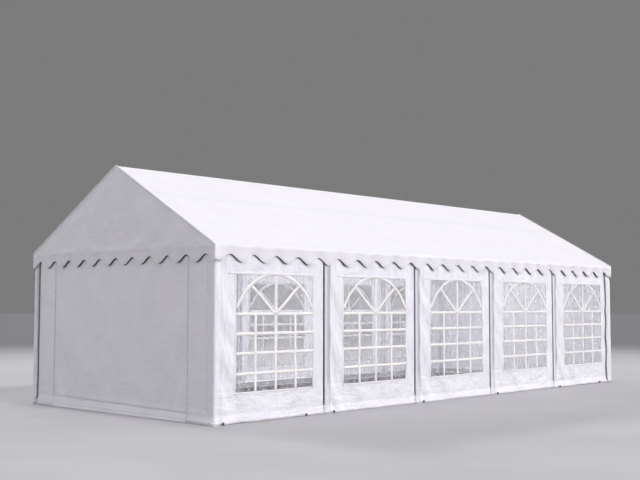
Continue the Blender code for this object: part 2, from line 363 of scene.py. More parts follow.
@dataclass
class SettlingCloth:
    """A flat cloth with a little slack, let settle by a simulation, which gives its wrinkles.

    Attributes:
        low: Lowest corner of the cloth on its cut.
        high: Highest corner of the cloth on its cut.
        held: Says how firmly a place of the cloth is held, from 0 to 1.
        seed: Seed of the small unevenness that the wrinkles grow from.
        slack: Share by which the cloth is longer than the span that it hangs in.
        taut: Says how little of the slack a place has, from 0 to 1.
        limit: The most that a place may stand off.
        step: Size of the simulated cells.
        gravity: Share of the real gravity.
        unevenness: Height of the unevenness at the start.
        uneven_cell: Width of its bumps.
        bending: How much the cloth resists bending.
        pull: How much it resists being pulled or pushed.
        swell: Width of the swell that is taken off the settled cloth.
        swell_share: How much of that swell is taken off.
    """

    low: Pair
    high: Pair
    held: Callable[[float, float], float]
    seed: int
    slack: float = 0.005
    taut: Callable[[float, float], float] = lambda u, v: 0.0
    limit: float = 0.009
    step: float = 0.031
    gravity: float = 0.3
    unevenness: float = 0.0012
    uneven_cell: float = 0.22
    bending: float = 4.0
    pull: float = 40.0
    swell: float = 0.4
    swell_share: float = 0.8

    def hang(self) -> None:
        """Makes the cloth, upright in the XZ plane, with its simulation."""
        width, height = self.high[0] - self.low[0], self.high[1] - self.low[1]
        self.columns, self.rows = round(width / self.step), round(height / self.step)
        mesh = mesh_of("settling", FlatCut(self.low, self.high, (self.columns, self.rows)).flat())
        flat = mesh_points(mesh)
        across, up = flat[:, 0], flat[:, 1]
        start = Relief.of_noise(self.low, self.high, self.uneven_cell, self.seed).at(across, up)
        upright = np.stack([across, self.unevenness * start, up], axis=1)
        mesh.vertices.foreach_set("co", upright.ravel().astype(np.float32))
        self.cells = (
            np.rint((across - self.low[0]) / width * self.columns).astype(int),
            np.rint((up - self.low[1]) / height * self.rows).astype(int),
        )
        self.cloth = in_scene("settling", mesh)
        groups = {name: self.cloth.vertex_groups.new(name=name) for name in ("held", "taut")}
        for index, (u, v, _) in enumerate(flat.tolist()):
            groups["held"].add([index], self.held(u, v), "REPLACE")
            groups["taut"].add([index], self.taut(u, v), "REPLACE")
        modifier = self.cloth.modifiers.new("settle", "CLOTH")
        modifier.collision_settings.use_collision = False
        settings = modifier.settings
        settings.quality = 5
        settings.mass = 0.3
        settings.tension_stiffness = settings.compression_stiffness = self.pull
        settings.shear_stiffness = self.pull / 2
        settings.bending_stiffness = self.bending
        settings.vertex_group_mass = "held"
        settings.vertex_group_shrink = "taut"
        settings.shrink_max = 0.0
        settings.shrink_min = -self.slack
        settings.effector_weights.gravity = self.gravity

    def read(self) -> Relief:
        """The settled heights, without the widest swell and kept within the limit. The cloth is removed."""
        graph = bpy.context.evaluated_depsgraph_get()
        settled = mesh_points(self.cloth.evaluated_get(graph).data)
        heights = np.zeros((self.columns + 1, self.rows + 1))
        heights[self.cells] = settled[:, 1]
        heights = blurred(heights, 0.6) - self.swell_share * blurred(heights, self.swell / self.step)
        mesh = self.cloth.data
        bpy.data.objects.remove(self.cloth)
        bpy.data.meshes.remove(mesh)
        return Relief(self.low, self.high, self.limit * np.tanh(heights / self.limit))


def settle(cloths: dict[str, SettlingCloth], frames: int = 18) -> dict[str, Relief]:
    """Lets all the cloths settle side by side.

    Args:
        cloths: The cloths by name.
        frames: How many frames they have to settle.

    Returns: Each cloth's relief, under its name.
    """
    for cloth in cloths.values():
        cloth.hang()
    for number in range(1, frames + 1):
        bpy.context.scene.frame_set(number)
    reliefs = {name: cloth.read() for name, cloth in cloths.items()}
    bpy.context.scene.frame_set(1)
    for name, relief in reliefs.items():
        LOG.info("settled %s, with wrinkles of %.1f mm", name, 1000 * relief.heights.std())
    return reliefs


@dataclass(frozen=True)
class Dressing:
    """What makes a mesh a piece of the tent.

    Attributes:
        slot: The record's slot for the piece; not used.
        material: Its material.
        replaces: CAD node that it stands for, if any.
        thickness: Thickness that it gets inwards, or 0 where the mesh is closed.
        sharp: Angle from which its edges are sharp, in degrees.
    """

    slot: Slot
    material: Material
    replaces: str = ""
    thickness: float = 0.0
    sharp: float = 35.0

    def piece(self, name: str, bm: BMesh) -> bpy.types.Object:
        """The mesh as a finished piece, which rides on the tent."""
        mesh = mesh_of(name, bm)
        mesh.shade_smooth()
        mesh.set_sharp_from_angle(angle=math.radians(self.sharp))
        mesh.materials.append(self.material)
        piece = in_scene(name, mesh)
        if self.thickness:
            solid = piece.modifiers.new("thickness", "SOLIDIFY")
            solid.thickness = self.thickness
            solid.offset = -1.0
            solid.use_even_offset = True
        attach(piece, BODY)
        if self.replaces:
            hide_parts(self.replaces)
        LOG.info("made %s, %d faces", name, len(mesh.polygons))
        return piece

    def tape(self, name: str, foot: Pair, top: float, width: float, place: Place) -> bpy.types.Object:
        """An upright tape on a wall, from its foot up to a height, as a finished piece."""
        return self.piece(name, strip(line(foot, (foot[0], top), 0.03), width, place))


Value = float | tuple[float, ...] | Socket


class Desk:
    """Adds nodes to one node tree and links them."""

    def __init__(self, tree: bpy.types.NodeTree) -> None:
        """Takes the tree to work on."""
        self.tree = tree

    def fill(self, node: Node, inputs: dict[str | int, Value]) -> None:
        """Sets or links a node's inputs, by name or number."""
        for key, value in inputs.items():
            if isinstance(value, Socket):
                self.tree.links.new(value, node.inputs[key])
            else:
                node.inputs[key].default_value = value

    def put(self, kind: str, inputs: dict[str | int, Value] | None = None, **settings: object) -> Node:
        """A new shader node.

        Args:
            kind: Its type.
            inputs: Values or sockets for its inputs, by name or number.
            settings: Its own settings.

        Returns:
            The node.
        """
        node = self.tree.nodes.new("ShaderNode" + kind)
        for key, value in settings.items():
            setattr(node, key, value)
        self.fill(node, inputs or {})
        return node

    def place(self) -> Socket:
        """The place on the object, in metres."""
        return self.put("TexCoord").outputs["Object"]

    def cut(self) -> Socket:
        """The place on a piece's flat cut, in metres."""
        return self.put("UVMap", uv_map=CUT_MAP).outputs["UV"]

    def mapped(self, vector: Value, scale: Triple = (1, 1, 1), rotation: Triple = (0, 0, 0)) -> Socket:
        """The vector scaled and turned."""
        return self.put("Mapping", {"Vector": vector, "Rotation": rotation, "Scale": scale}).outputs[0]

    def parts(self, vector: Value) -> tuple[Socket, ...]:
        """The three parts of a vector."""
        return tuple(self.put("SeparateXYZ", {0: vector}).outputs)

    def dot(self, first: Value, second: Value) -> Socket:
        """The dot product of two vectors."""
        return self.put("VectorMath", {0: first, 1: second}, operation="DOT_PRODUCT").outputs["Value"]

    def sum_up(self, operation: str, *values: Value) -> Socket:
        """The result of a Math node."""
        return self.put("Math", dict(enumerate(values)), operation=operation).outputs[0]

    def product(self, *values: Value) -> Socket:
        """All the values multiplied."""
        return reduce(lambda first, second: self.sum_up("MULTIPLY", first, second), values)

    def total(self, *values: Value) -> Socket:
        """All the values added up."""
        return reduce(lambda first, second: self.sum_up("ADD", first, second), values)

    def away(self, value: Value, middle: float = 0.0) -> Socket:
        """How far the value is from a middle."""
        return self.sum_up("ABSOLUTE", self.sum_up("SUBTRACT", value, middle))

    def noise(
        self, vector: Value, scale: Value, detail: float = 3, distortion: float = 0, roughness: float = 0.5
    ) -> Socket:
        """A noise value."""
        inputs = {"Vector": vector, "Scale": scale, "Detail": detail, "Distortion": distortion}
        return self.put("TexNoise", {**inputs, "Roughness": roughness}).outputs["Fac"]

    def between(
        self, value: Value, low: float, high: float, to_low: float = 0.0, to_high: float = 1.0
    ) -> Socket:
        """The value mapped smoothly from one range to another, and kept within it."""
        inputs = {0: value, 1: low, 2: high, 3: to_low, 4: to_high}
        return self.put("MapRange", inputs, interpolation_type="SMOOTHSTEP").outputs[0]

    def mixed(self, share: Value, first: Value, second: Value) -> Socket:
        """A mix of two colours, each a socket or its red, green and blue."""
        colours = [(*colour, 1) if isinstance(colour, tuple) else colour for colour in (first, second)]
        return self.put("Mix", {0: share, 6: colours[0], 7: colours[1]}, data_type="RGBA").outputs[2]

    def raised(self, height: Value, distance: float, strength: float, normal: Value | None = None) -> Socket:
        """The normal of a bump."""
        inputs = {"Height": height, "Distance": distance, "Strength": strength}
        if normal is not None:
            inputs["Normal"] = normal
        return self.put("Bump", inputs).outputs["Normal"]


Sockets = dict[str, Socket]
Build = Callable[[Desk, Sockets], Sockets]


@dataclass(frozen=True)
class CoverWave:
    """The scalloped edge of a valance, as the wall behind it meets it, which bounds the painted shadow that
    the valance casts on the wall.

    Attributes:
        pitch: Width of a scallop.
        middle: Height halfway between the scallops' tips and crests.
        half: From there to a tip or a crest.
        shift: From a tip back to the start of the wall's measure.
        start: Where the valance starts to stand off the wall.
    """

    pitch: float
    middle: float
    half: float
    shift: float = 0.0
    start: float = -9.0


class SharedEffects:
    """Shader effects that several finishes use, each a node group that is built once."""

    def __init__(self) -> None:
        """Starts with no group."""
        self.groups: dict[str, bpy.types.NodeTree] = {}

    def placed(self, desk: Desk, name: str, build: Build, **inputs: Value) -> Node:
        """A group's node on a desk, with the group built when it is first asked for.

        Args:
            desk: The desk of the material.
            name: The group's name.
            build: Fills the group, given its desk and what goes in, and returns what goes out.
            inputs: What goes in: a socket for each vector, and plain numbers.

        Returns:
            The node.
        """
        if name not in self.groups:
            tree = bpy.data.node_groups.new(name, "ShaderNodeTree")
            inner = Desk(tree)
            for key, value in inputs.items():
                kind = "NodeSocketVector" if isinstance(value, Socket) else "NodeSocketFloat"
                tree.interface.new_socket(name=key, in_out="INPUT", socket_type=kind)
            made = build(inner, dict(zip(inputs, tree.nodes.new("NodeGroupInput").outputs)))
            for key in made:
                tree.interface.new_socket(name=key, in_out="OUTPUT", socket_type="NodeSocketFloat")
            inner.fill(tree.nodes.new("NodeGroupOutput"), made)
            self.groups[name] = tree
        return desk.put("Group", inputs, node_tree=self.groups[name])

    def weave(self, desk: Desk, vector: Value, pitch: float) -> Socket:
        """The height of a plain weave under a coating, with threads a pitch apart."""

        def build(inner: Desk, given: Sockets) -> Sockets:
            waves = []
            for part in inner.parts(given["Vector"])[:2]:
                turns = inner.sum_up("DIVIDE", part, given["Pitch"])
                waves.append(inner.sum_up("SINE", inner.product(turns, math.pi)))
            return {"Height": inner.product(*waves)}

        return self.placed(desk, "plain weave", build, Vector=vector, Pitch=pitch).outputs[0]

    def creases(self, desk: Desk, vector: Value, scale: float) -> Socket:
        """The height of long soft creases that meet at sharp lines, about scale of them a metre."""

        def build(inner: Desk, given: Sockets) -> Sockets:
            noise = inner.noise(given["Vector"], given["Scale"], 2.5, 0.8, 0.45)
            away = inner.sum_up("SUBTRACT", noise, 0.5)
            squared = inner.sum_up("MULTIPLY_ADD", away, away, 0.0002)
            return {"Height": inner.sum_up("SQRT", squared)}

        return self.placed(desk, "creases", build, Vector=vector, Scale=scale).outputs[0]

    def crumple(self, desk: Desk, vector: Value, scale: float, warp: float) -> Socket:
        """The height of small sharp creases between flat facets, about scale of them a metre."""

        def build(inner: Desk, given: Sockets) -> Sockets:
            vector = given["Vector"]
            wander = inner.put("TexNoise", {"Vector": vector, "Scale": 3.0, "Detail": 2.0}).outputs["Color"]
            pushed = inner.put("VectorMath", {0: wander, 3: given["Warp"]}, operation="SCALE").outputs[0]
            moved = inner.put("VectorMath", {0: vector, 1: pushed}, operation="ADD").outputs[0]
            heights = []
            for size, share in ((1.0, 0.65), (2.7, 0.35)):
                inputs = {"Vector": moved, "Scale": inner.product(given["Scale"], size), "Randomness": 0.8}
                cells = inner.put(
                    "TexVoronoi", inputs, voronoi_dimensions="2D", feature="DISTANCE_TO_EDGE"
                )
                heights.append(inner.product(cells.outputs["Distance"], share))
            return {"Height": inner.total(*heights)}

        return self.placed(desk, "crumple", build, Vector=vector, Scale=scale, Warp=warp).outputs[0]

    def covered(self, desk: Desk, vector: Value, wave: CoverWave) -> Socket:
        """Where a scalloped valance hangs over a wall, whose cut the vector is on: the mask of the painted
        valance shadow.
        """

        def build(inner: Desk, given: Sockets) -> Sockets:
            across, up, _ = inner.parts(given["Vector"])
            along = inner.product(inner.total(across, given["Shift"]), 2 * math.pi)
            turns = inner.sum_up("DIVIDE", along, given["Pitch"])
            drop = inner.product(inner.sum_up("COSINE", turns), given["Half"])
            within = inner.total(inner.sum_up("SUBTRACT", up, given["Middle"]), drop)
            past = inner.sum_up("SUBTRACT", across, given["Start"])
            free = inner.between(past, 0.0, 0.06)
            return {"Mask": inner.product(free, inner.between(within, -0.013, -0.002))}

        values = {key.title(): value for key, value in asdict(wave).items()}
        return self.placed(desk, "covered by the valance", build, Vector=vector, **values).outputs[0]

    def faces(self, desk: Desk) -> tuple[Socket, Socket]:
        """Where a wall's face looks out of the tent, and where it looks back at the panel before it."""

        def build(inner: Desk, given: Sockets) -> Sockets:
            x, y, _ = inner.parts(given["Position"])
            ways = {"Outer": (x, y), "Start": (y, inner.product(x, -1.0))}
            made = {}
            for name, way in ways.items():
                way = inner.put("CombineXYZ", dict(enumerate(way))).outputs[0]
                made[name] = inner.between(inner.dot(way, given["Normal"]), -0.3, 0.3)
            return made

        known = desk.put("TexCoord").outputs
        node = self.placed(desk, "faces of a wall", build, Position=known["Object"], Normal=known["Normal"])
        return node.outputs["Outer"], node.outputs["Start"]

    def soil(self, desk: Desk, reach: float) -> Socket:
        """How much dust and splash lies on a place near the ground, up to a height."""

        def build(inner: Desk, given: Sockets) -> Sockets:
            _, _, height = inner.parts(given["Position"])
            low = inner.between(inner.sum_up("DIVIDE", height, given["Reach"]), 0.0, 1.0, 1.0, 0.0)
            patches = inner.between(inner.noise(given["Position"], 9.0, 5.0, 0.4), 0.35, 0.75, 0.15, 1.0)
            return {"Mask": inner.product(low, patches)}

        return self.placed(desk, "soil", build, Position=desk.place(), Reach=reach).outputs[0]


EFFECTS = SharedEffects()


def new_material(name: str) -> tuple[Material, Desk, Node]:
    """An empty material, its desk and its Principled shader."""
    material = bpy.data.materials.new(name)
    material.use_nodes = True
    return material, Desk(material.node_tree), material.node_tree.nodes["Principled BSDF"]


@dataclass(frozen=True)
class CoatedCloth:
    """White polyester cloth coated with PVC: satin, a little see-through to light, with a faint weave.

    Attributes:
        colour: Its colour.
        shade: Its colour in the slightly yellowed or greyed patches.
        roughness: How matt the coating is.
        crease: Strength of the small creases.
        thread: Distance between threads.
        soil_reach: Height up to which dust from the ground shows.
        soil_colour: Colour of that dust.
        light_depth: How far light spreads within the cloth, in metres.
        steel_shade: How much painted shade the leg behind the start of the cloth puts on it.
        steel_colour: Painted shade colour of the cloth where the leg is behind it.
        steel_ends: Where that painted shade rises and where it falls off, across the cut.
        turned_edge: Where the painted shade of the turned-in edge ends and where it is full, across the cut.
        turned_colour: Painted shade colour of the turned-in edge, for the dark slot beside the leg.
        beside: Where a window starts and ends across the cut, and the creases beside it run upright.
        cover: The valance that hangs over the cloth's upper edge, which bounds its painted shadow on the
            cloth.
        cover_colour: Painted shade colour of the cloth where the valance shadows it.
        fold: On both slopes, from the ridge to the painted shade band, a greyer line along the roof.
        fold_width: Half the width of that band.
        fold_colour: Its painted shade colour.
    """

    colour: Triple = (0.905, 0.90, 0.945)
    shade: Triple = (0.865, 0.86, 0.905)
    roughness: float = 0.42
    crease: float = 0.35
    thread: float = 0.0012
    soil_reach: float = 0.22
    soil_colour: Triple = (0.50, 0.46, 0.40)
    light_depth: float = 0.0005
    steel_shade: float = 0.0
    steel_colour: Triple = (0.46, 0.47, 0.50)
    steel_ends: tuple[Pair, Pair] = ((-0.028, -0.014), (0.042, 0.060))
    turned_edge: Pair = (-0.058, -0.048)
    turned_colour: Triple = (0.24, 0.24, 0.26)
    beside: Pair | None = None
    cover: CoverWave | None = None
    cover_colour: Triple = (0.15, 0.15, 0.16)
    fold: float | None = None
    fold_width: float = 0.13
    fold_colour: Triple = (0.87, 0.865, 0.91)

    def over_leg(self, desk: Desk, cut: Socket, colour: Socket, outer: Socket, start: Socket) -> Socket:
        """The colour with painted shade where the leg stands behind the panel's start, and painted shade on
        its turned-in edge.
        """
        across, up, _ = desk.parts(cut)
        # painted shade where the leg stands behind the cloth, on its outer face only
        rise = desk.between(across, *self.steel_ends[0])
        fall = desk.between(across, *self.steel_ends[1], 1.0, 0.0)
        foot = desk.between(up, 0.25, 0.55, 0.35 * self.steel_shade, self.steel_shade)
        colour = desk.mixed(desk.product(rise, fall, foot, outer), colour, self.steel_colour)
        # painted shade on the turned-in edge, standing in for the dark slot beside the leg
        edge = desk.between(across, *self.turned_edge, 1.0, 0.0)
        above = desk.between(up, 0.10, 0.16)
        return desk.mixed(desk.product(edge, above, start), colour, self.turned_colour)

    def tone(self, desk: Desk, cut: Socket) -> Socket:
        """The clean cloth's colour, with painted shade over the legs, on the turned-in edges, under the
        valances and along the roof's shade band.
        """
        patches = desk.between(desk.noise(cut, 2.3, 4.0, 0.3), 0.35, 0.7)
        colour = desk.mixed(patches, self.colour, self.shade)
        # painted shade band along each slope of the roof
        if self.fold is not None:
            away = desk.away(desk.away(desk.parts(cut)[1]), self.fold)
            colour = desk.mixed(desk.between(away, 0.0, self.fold_width, 0.6, 0.0), colour, self.fold_colour)
        if self.cover is not None:
            outer, start = EFFECTS.faces(desk)
            if self.steel_shade:
                colour = self.over_leg(desk, cut, colour, outer, start)
            # painted shadow of the valance on the wall's outer face
            covered = desk.product(outer, EFFECTS.covered(desk, cut, self.cover))
            colour = desk.mixed(covered, colour, self.cover_colour)
        return colour

    def creases(self, desk: Desk, cut: Socket) -> Socket:
        """The height of the creases: aslant, and upright beside a window."""
        aslant = EFFECTS.creases(desk, desk.mapped(cut, (0.55, 1.6, 1.0), (0, 0, -0.42)), 6.0)
        if self.beside is None:
            return aslant
        across, up, _ = desk.parts(cut)
        low, high = self.beside
        half, blend = (high - low) / 2, 0.03
        outside = desk.between(desk.away(across, (low + high) / 2), half - blend, half + blend)
        hung = desk.between(up, 0.30, 0.50)
        upright = EFFECTS.creases(desk, desk.mapped(cut, (2.2, 0.6, 1.0), (0, 0, 0.1)), 6.0)
        return desk.put("Mix", {0: desk.product(outside, hung), 2: aslant, 3: upright}).outputs[0]

    def material(self, name: str) -> Material:
        """The finish as a material."""
        material, desk, shader = new_material(name)
        cut = desk.cut()
        soil = desk.product(EFFECTS.soil(desk, self.soil_reach), 0.08)
        least, most = self.roughness - 0.06, self.roughness + 0.06
        matt = desk.between(desk.noise(cut, 6.0, 4.0), 0.3, 0.7, least, most)
        normal = desk.raised(self.creases(desk, cut), 0.030, self.crease)
        normal = desk.raised(EFFECTS.crumple(desk, cut, 7.0, 0.25), 0.010, self.crease, normal)
        inputs = {
            "Base Color": desk.mixed(soil, self.tone(desk, cut), self.soil_colour),
            "Roughness": desk.total(matt, desk.product(soil, 0.6)),
            "Normal": desk.raised(EFFECTS.weave(desk, cut, self.thread), 0.00012, 0.6, normal),
            "IOR": 1.48,
            "Subsurface Weight": 1.0,
            "Subsurface Radius": (1.0, 1.0, 1.0),
            "Subsurface Scale": self.light_depth,
        }
        desk.fill(shader, inputs)
        return material


@dataclass(frozen=True)
class ClearFilm:
    """Clear soft PVC film: glossy and crinkled, with a milky haze.

    Attributes:
        colour: The colour of its haze.
        haze: Share of the light that the clearest places of each face hold back.
        cloud: How much more its cloudy places hold back.
        folds: How much more its sharp creases hold back.
        streaks: How much more its upright streaks hold back.
        crinkle: How deep its crinkles are, in metres.
        mirrored: Share of the light that each face mirrors when seen head on.
        mirrored_aslant: How much more it mirrors along the film.
    """

    colour: Triple = (0.90, 0.905, 0.92)
    haze: float = 0.025
    cloud: float = 0.04
    folds: float = 0.13
    streaks: float = 0.17
    crinkle: float = 0.016
    mirrored: float = 0.04
    mirrored_aslant: float = 0.6

    def material(self, name: str) -> Material:
        """The finish as a material."""
        material, desk, shader = new_material(name)
        cut = desk.cut()
        stretched = desk.mapped(cut, (1.7, 1.0, 1.0))
        upright = desk.mapped(cut, (3.4, 0.42, 1.0))
        crumpled = EFFECTS.crumple(desk, cut, 26.0, 0.1)
        normal = desk.raised(EFFECTS.creases(desk, stretched, 9.0), 2.0 * self.crinkle, 1.0)
        normal = desk.raised(crumpled, 0.6 * self.crinkle, 1.0, normal)
        facing = desk.put("LayerWeight", {"Blend": 0.5, "Normal": normal}).outputs["Facing"]
        aslant = desk.product(desk.sum_up("POWER", facing, 4.0), self.mirrored_aslant)
        mirror = desk.total(aslant, self.mirrored)
        cloud = desk.between(desk.noise(stretched, 4.0, 6.0, 0.7), 0.35, 0.75, 0.0, self.cloud)
        folds = desk.between(crumpled, 0.0, 0.05, self.folds, 0.0)
        streaks = desk.between(desk.noise(upright, 9.0, 4.0, 0.5), 0.46, 0.64, 0.0, self.streaks)
        alpha = desk.total(cloud, folds, streaks, self.haze, mirror)
        inputs = {
            "Base Color": (*self.colour, 1),
            "Metallic": desk.sum_up("DIVIDE", mirror, alpha),
            "Roughness": desk.between(desk.noise(cut, 9.0, 4.0), 0.3, 0.7, 0.04, 0.12),
            "Alpha": alpha,
            "Normal": normal,
            "IOR": 1.5,
        }
        desk.fill(shader, inputs)
        return material


@dataclass(frozen=True)
class PrintedBar:
    """Cream-white strips welded onto the film, smooth and slightly glossy.

    Attributes:
        colour: Their colour.
        shade: Their colour in the duller patches.
    """

    colour: Triple = (0.98, 0.977, 0.945)
    shade: Triple = (0.96, 0.953, 0.91)

    def material(self, name: str) -> Material:
        """The finish as a material."""
        material, desk, shader = new_material(name)
        cut = desk.cut()
        patches = desk.between(desk.noise(cut, 12.0, 4.0, 0.4), 0.3, 0.75)
        normal = desk.raised(desk.noise(cut, 35.0), 0.0012, 0.4)
        inputs = {
            "Base Color": desk.mixed(patches, self.colour, self.shade),
            "Roughness": desk.between(desk.noise(cut, 20.0), 0.3, 0.7, 0.3, 0.5),
            "Normal": desk.raised(EFFECTS.weave(desk, cut, 0.0021), 0.0001, 0.5, normal),
        }
        desk.fill(shader, inputs)
        return material


@dataclass(frozen=True)
class ZincSteel:
    """Galvanised steel tube: grey with a soft spangle, duller patches and a drawn grain.

    Attributes:
        bright: Its colour where it is bright.
        dull: Its colour where it is dull.
        metallic: How much it mirrors as metal does.
    """

    bright: Triple = (0.80, 0.81, 0.83)
    dull: Triple = (0.62, 0.64, 0.66)
    metallic: float = 0.55

    def material(self, name: str) -> Material:
        """The finish as a material."""
        material, desk, shader = new_material(name)
        place = desk.place()
        cells = desk.put("TexVoronoi", {"Vector": place, "Scale": 70.0, "Randomness": 1.0})
        tone = desk.parts(cells.outputs["Color"])[0]
        patches = desk.between(desk.noise(place, 6.0, 5.0, 0.5), 0.35, 0.7)
        share = desk.total(desk.product(tone, 0.45), desk.product(patches, 0.5))
        normal = desk.raised(desk.noise(place, 160.0, 2.0), 0.0003, 0.4)
        inputs = {
            "Base Color": desk.mixed(share, self.bright, self.dull),
            "Metallic": self.metallic,
            "Roughness": desk.between(share, 0.0, 1.0, 0.3, 0.52),
            "Normal": desk.raised(tone, 0.0001, 0.35, normal),
        }
        desk.fill(shader, inputs)
        return material


@dataclass(frozen=True)
class ZipPlastic:
    """Moulded zip plastic or woven tape, matt.

    Attributes:
        colour: Its colour.
        thread: Distance between its threads.
    """

    colour: Triple = (0.70, 0.71, 0.73)
    thread: float = 0.0008

    def material(self, name: str) -> Material:
        """The finish as a material."""
        material, desk, shader = new_material(name)
        place = desk.place()
        shaded = tuple(0.82 * value for value in self.colour)
        patches = desk.between(desk.noise(place, 18.0, 4.0), 0.3, 0.7)
        upright = desk.mapped(place, rotation=(math.pi / 2, 0, 0))
        inputs = {
            "Base Color": desk.mixed(patches, self.colour, shaded),
            "Roughness": desk.between(desk.noise(place, 40.0, 2.0), 0.3, 0.7, 0.5, 0.68),
            "Normal": desk.raised(EFFECTS.weave(desk, upright, self.thread), 0.0002, 0.6),
        }
        desk.fill(shader, inputs)
        return material


@dataclass(frozen=True)
class Palette:
    """The tent's materials.

    Attributes:
        roof: The roof cover's cloth.
        gable: The gables' cloth.
        wall: The end walls' cloth.
        side: The side panels' cloth.
        corner: The cloth of the first side panel, which goes round the corner leg.
        welt: Bindings, piping and welded strips.
        film: The windows' clear film.
        bars: The bars printed on it.
        tape: The zips' tape.
        zip: The zips' teeth.
        dark_tape: The dark tape along the walls' edges, put in the slits there as painted shade.
        zinc: Galvanised tube and fittings.
        dark_steel: Pegs.
    """

    roof: Material
    gable: Material
    wall: Material
    side: Material
    corner: Material
    welt: Material
    film: Material
    bars: Material
    tape: Material
    zip: Material
    dark_tape: Material
    zinc: Material
    dark_steel: Material


@dataclass(frozen=True)
class Scallops:
    """The wavy lower edge of a valance, longest where two scallops meet.

    Attributes:
        count: Number of scallops.
        pitch: Width of one.
        short: The least depth.
        long: The most depth.
        curl: How far the lower edge curls in.
        flutter: How far it waves at random.
    """

    count: int
    pitch: float
    short: float
    long: float
    curl: float = 0.019
    flutter: float = 0.0014

    def depth(self, distance: Array) -> Array:
        """The valance's depth at a distance from its middle."""
        to_end = np.maximum(self.count / 2 - np.abs(distance) / self.pitch, 0)
        return (self.short + self.long) / 2 + (self.long - self.short) / 2 * np.cos(2 * math.pi * to_end)

    def hung(self, distance: Array, below: Array, end: Pair, noise: Array, phase: Array | float) -> Array:
        """How far the hanging valance stands off, free at its lower edge.

        Args:
            distance: The distance from the valance's middle.
            below: Share of its depth, from 0 at the eave to 1 at the edge.
            end: Where the curl starts to fade towards the valance's end, and that end.
            noise: Unevenness with a spread of 1.
            phase: Which part of a scallop curls most.

        Returns:
            The distance that it stands off, outwards.
        """
        free = eased(below, 0.0, 0.35) * below * (1.0 - eased(np.abs(distance), *end))
        wave = np.cos(2 * math.pi * distance / self.pitch + phase)
        return free * (self.flutter * noise - self.curl * (0.85 + 0.15 * wave))


@dataclass(frozen=True)
class TentSizes:
    """Main places of the tent, read from its frame.

    Attributes:
        post_x: Place of the legs across the tent.
        post_y: Place of the corner legs along the tent.
        wall_x: Outer face of the side walls.
        wall_y: Outer face of the end walls.
        cover_x: Outer face of the side valances.
        cover_y: Outer face of the gables.
        eave_z: Height of the roof cover's lower corner.
        ridge_z: Height of the ridge.
        bays: Number of bays.
        bay_scallops: Scallops of the side valances in each bay.
        gable_scallops: Scallops of a gable's valance.
        valance_short: Depth of a valance between two scallops' tips.
        valance_long: Depth of a valance at a tip.
        valance_node: Depth of the CAD's valance at a tip.
        tape_top: From the eave down to where the tapes on the walls end, behind the valance.
    """

    post_x: float
    post_y: float
    wall_x: float
    wall_y: float
    cover_x: float
    cover_y: float
    eave_z: float
    ridge_z: float
    bays: int = 5
    bay_scallops: int = 5
    gable_scallops: int = 11
    valance_short: float = 0.108
    valance_long: float = 0.206
    valance_node: float = 0.235
    tape_top: float = 0.11

    @classmethod
    def of_frame(cls) -> "TentSizes":
        """Reads the places from the CAD nodes."""
        leg_low, leg_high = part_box("leg_right_1")
        panel_low, panel_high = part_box("side_panel_right_1")
        cover_low, cover_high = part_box("roof_cover")
        return cls(
            post_x=(leg_low.x + leg_high.x) / 2,
            post_y=-(leg_low.y + leg_high.y) / 2,
            wall_x=panel_high.x,
            wall_y=-panel_low.y,
            cover_x=cover_high.x,
            cover_y=cover_high.y,
            eave_z=cover_low.z + cls.valance_node,
            ridge_z=cover_high.z,
        )

    @property
    def bay(self) -> float:
        """Length of a bay."""
        return 2 * self.post_y / self.bays

    @property
    def rise(self) -> float:
        """Rise of the roof for each metre across."""
        return (self.ridge_z - self.eave_z) / self.cover_x

    @property
    def side_edge(self) -> Scallops:
        """The side valances' lower edge."""
        count = self.bay_scallops * self.bays
        return Scallops(count, 2 * self.post_y / count, self.valance_short, self.valance_long)

    @property
    def end_edge(self) -> Scallops:
        """The gables' lower edge."""
        pitch = 2 * self.cover_x / self.gable_scallops
        return Scallops(self.gable_scallops, pitch, self.valance_short, self.valance_long)

    def leg_y(self, index: int) -> float:
        """Place along the tent of a row of legs, counted from 0 at the front."""
        return -self.post_y + index * self.bay

    def truss(self, turn: Turn) -> str:
        """The name of the truss at an end."""
        return f"roof_truss_{1 if turn is Turn.NONE else self.bays + 1}"


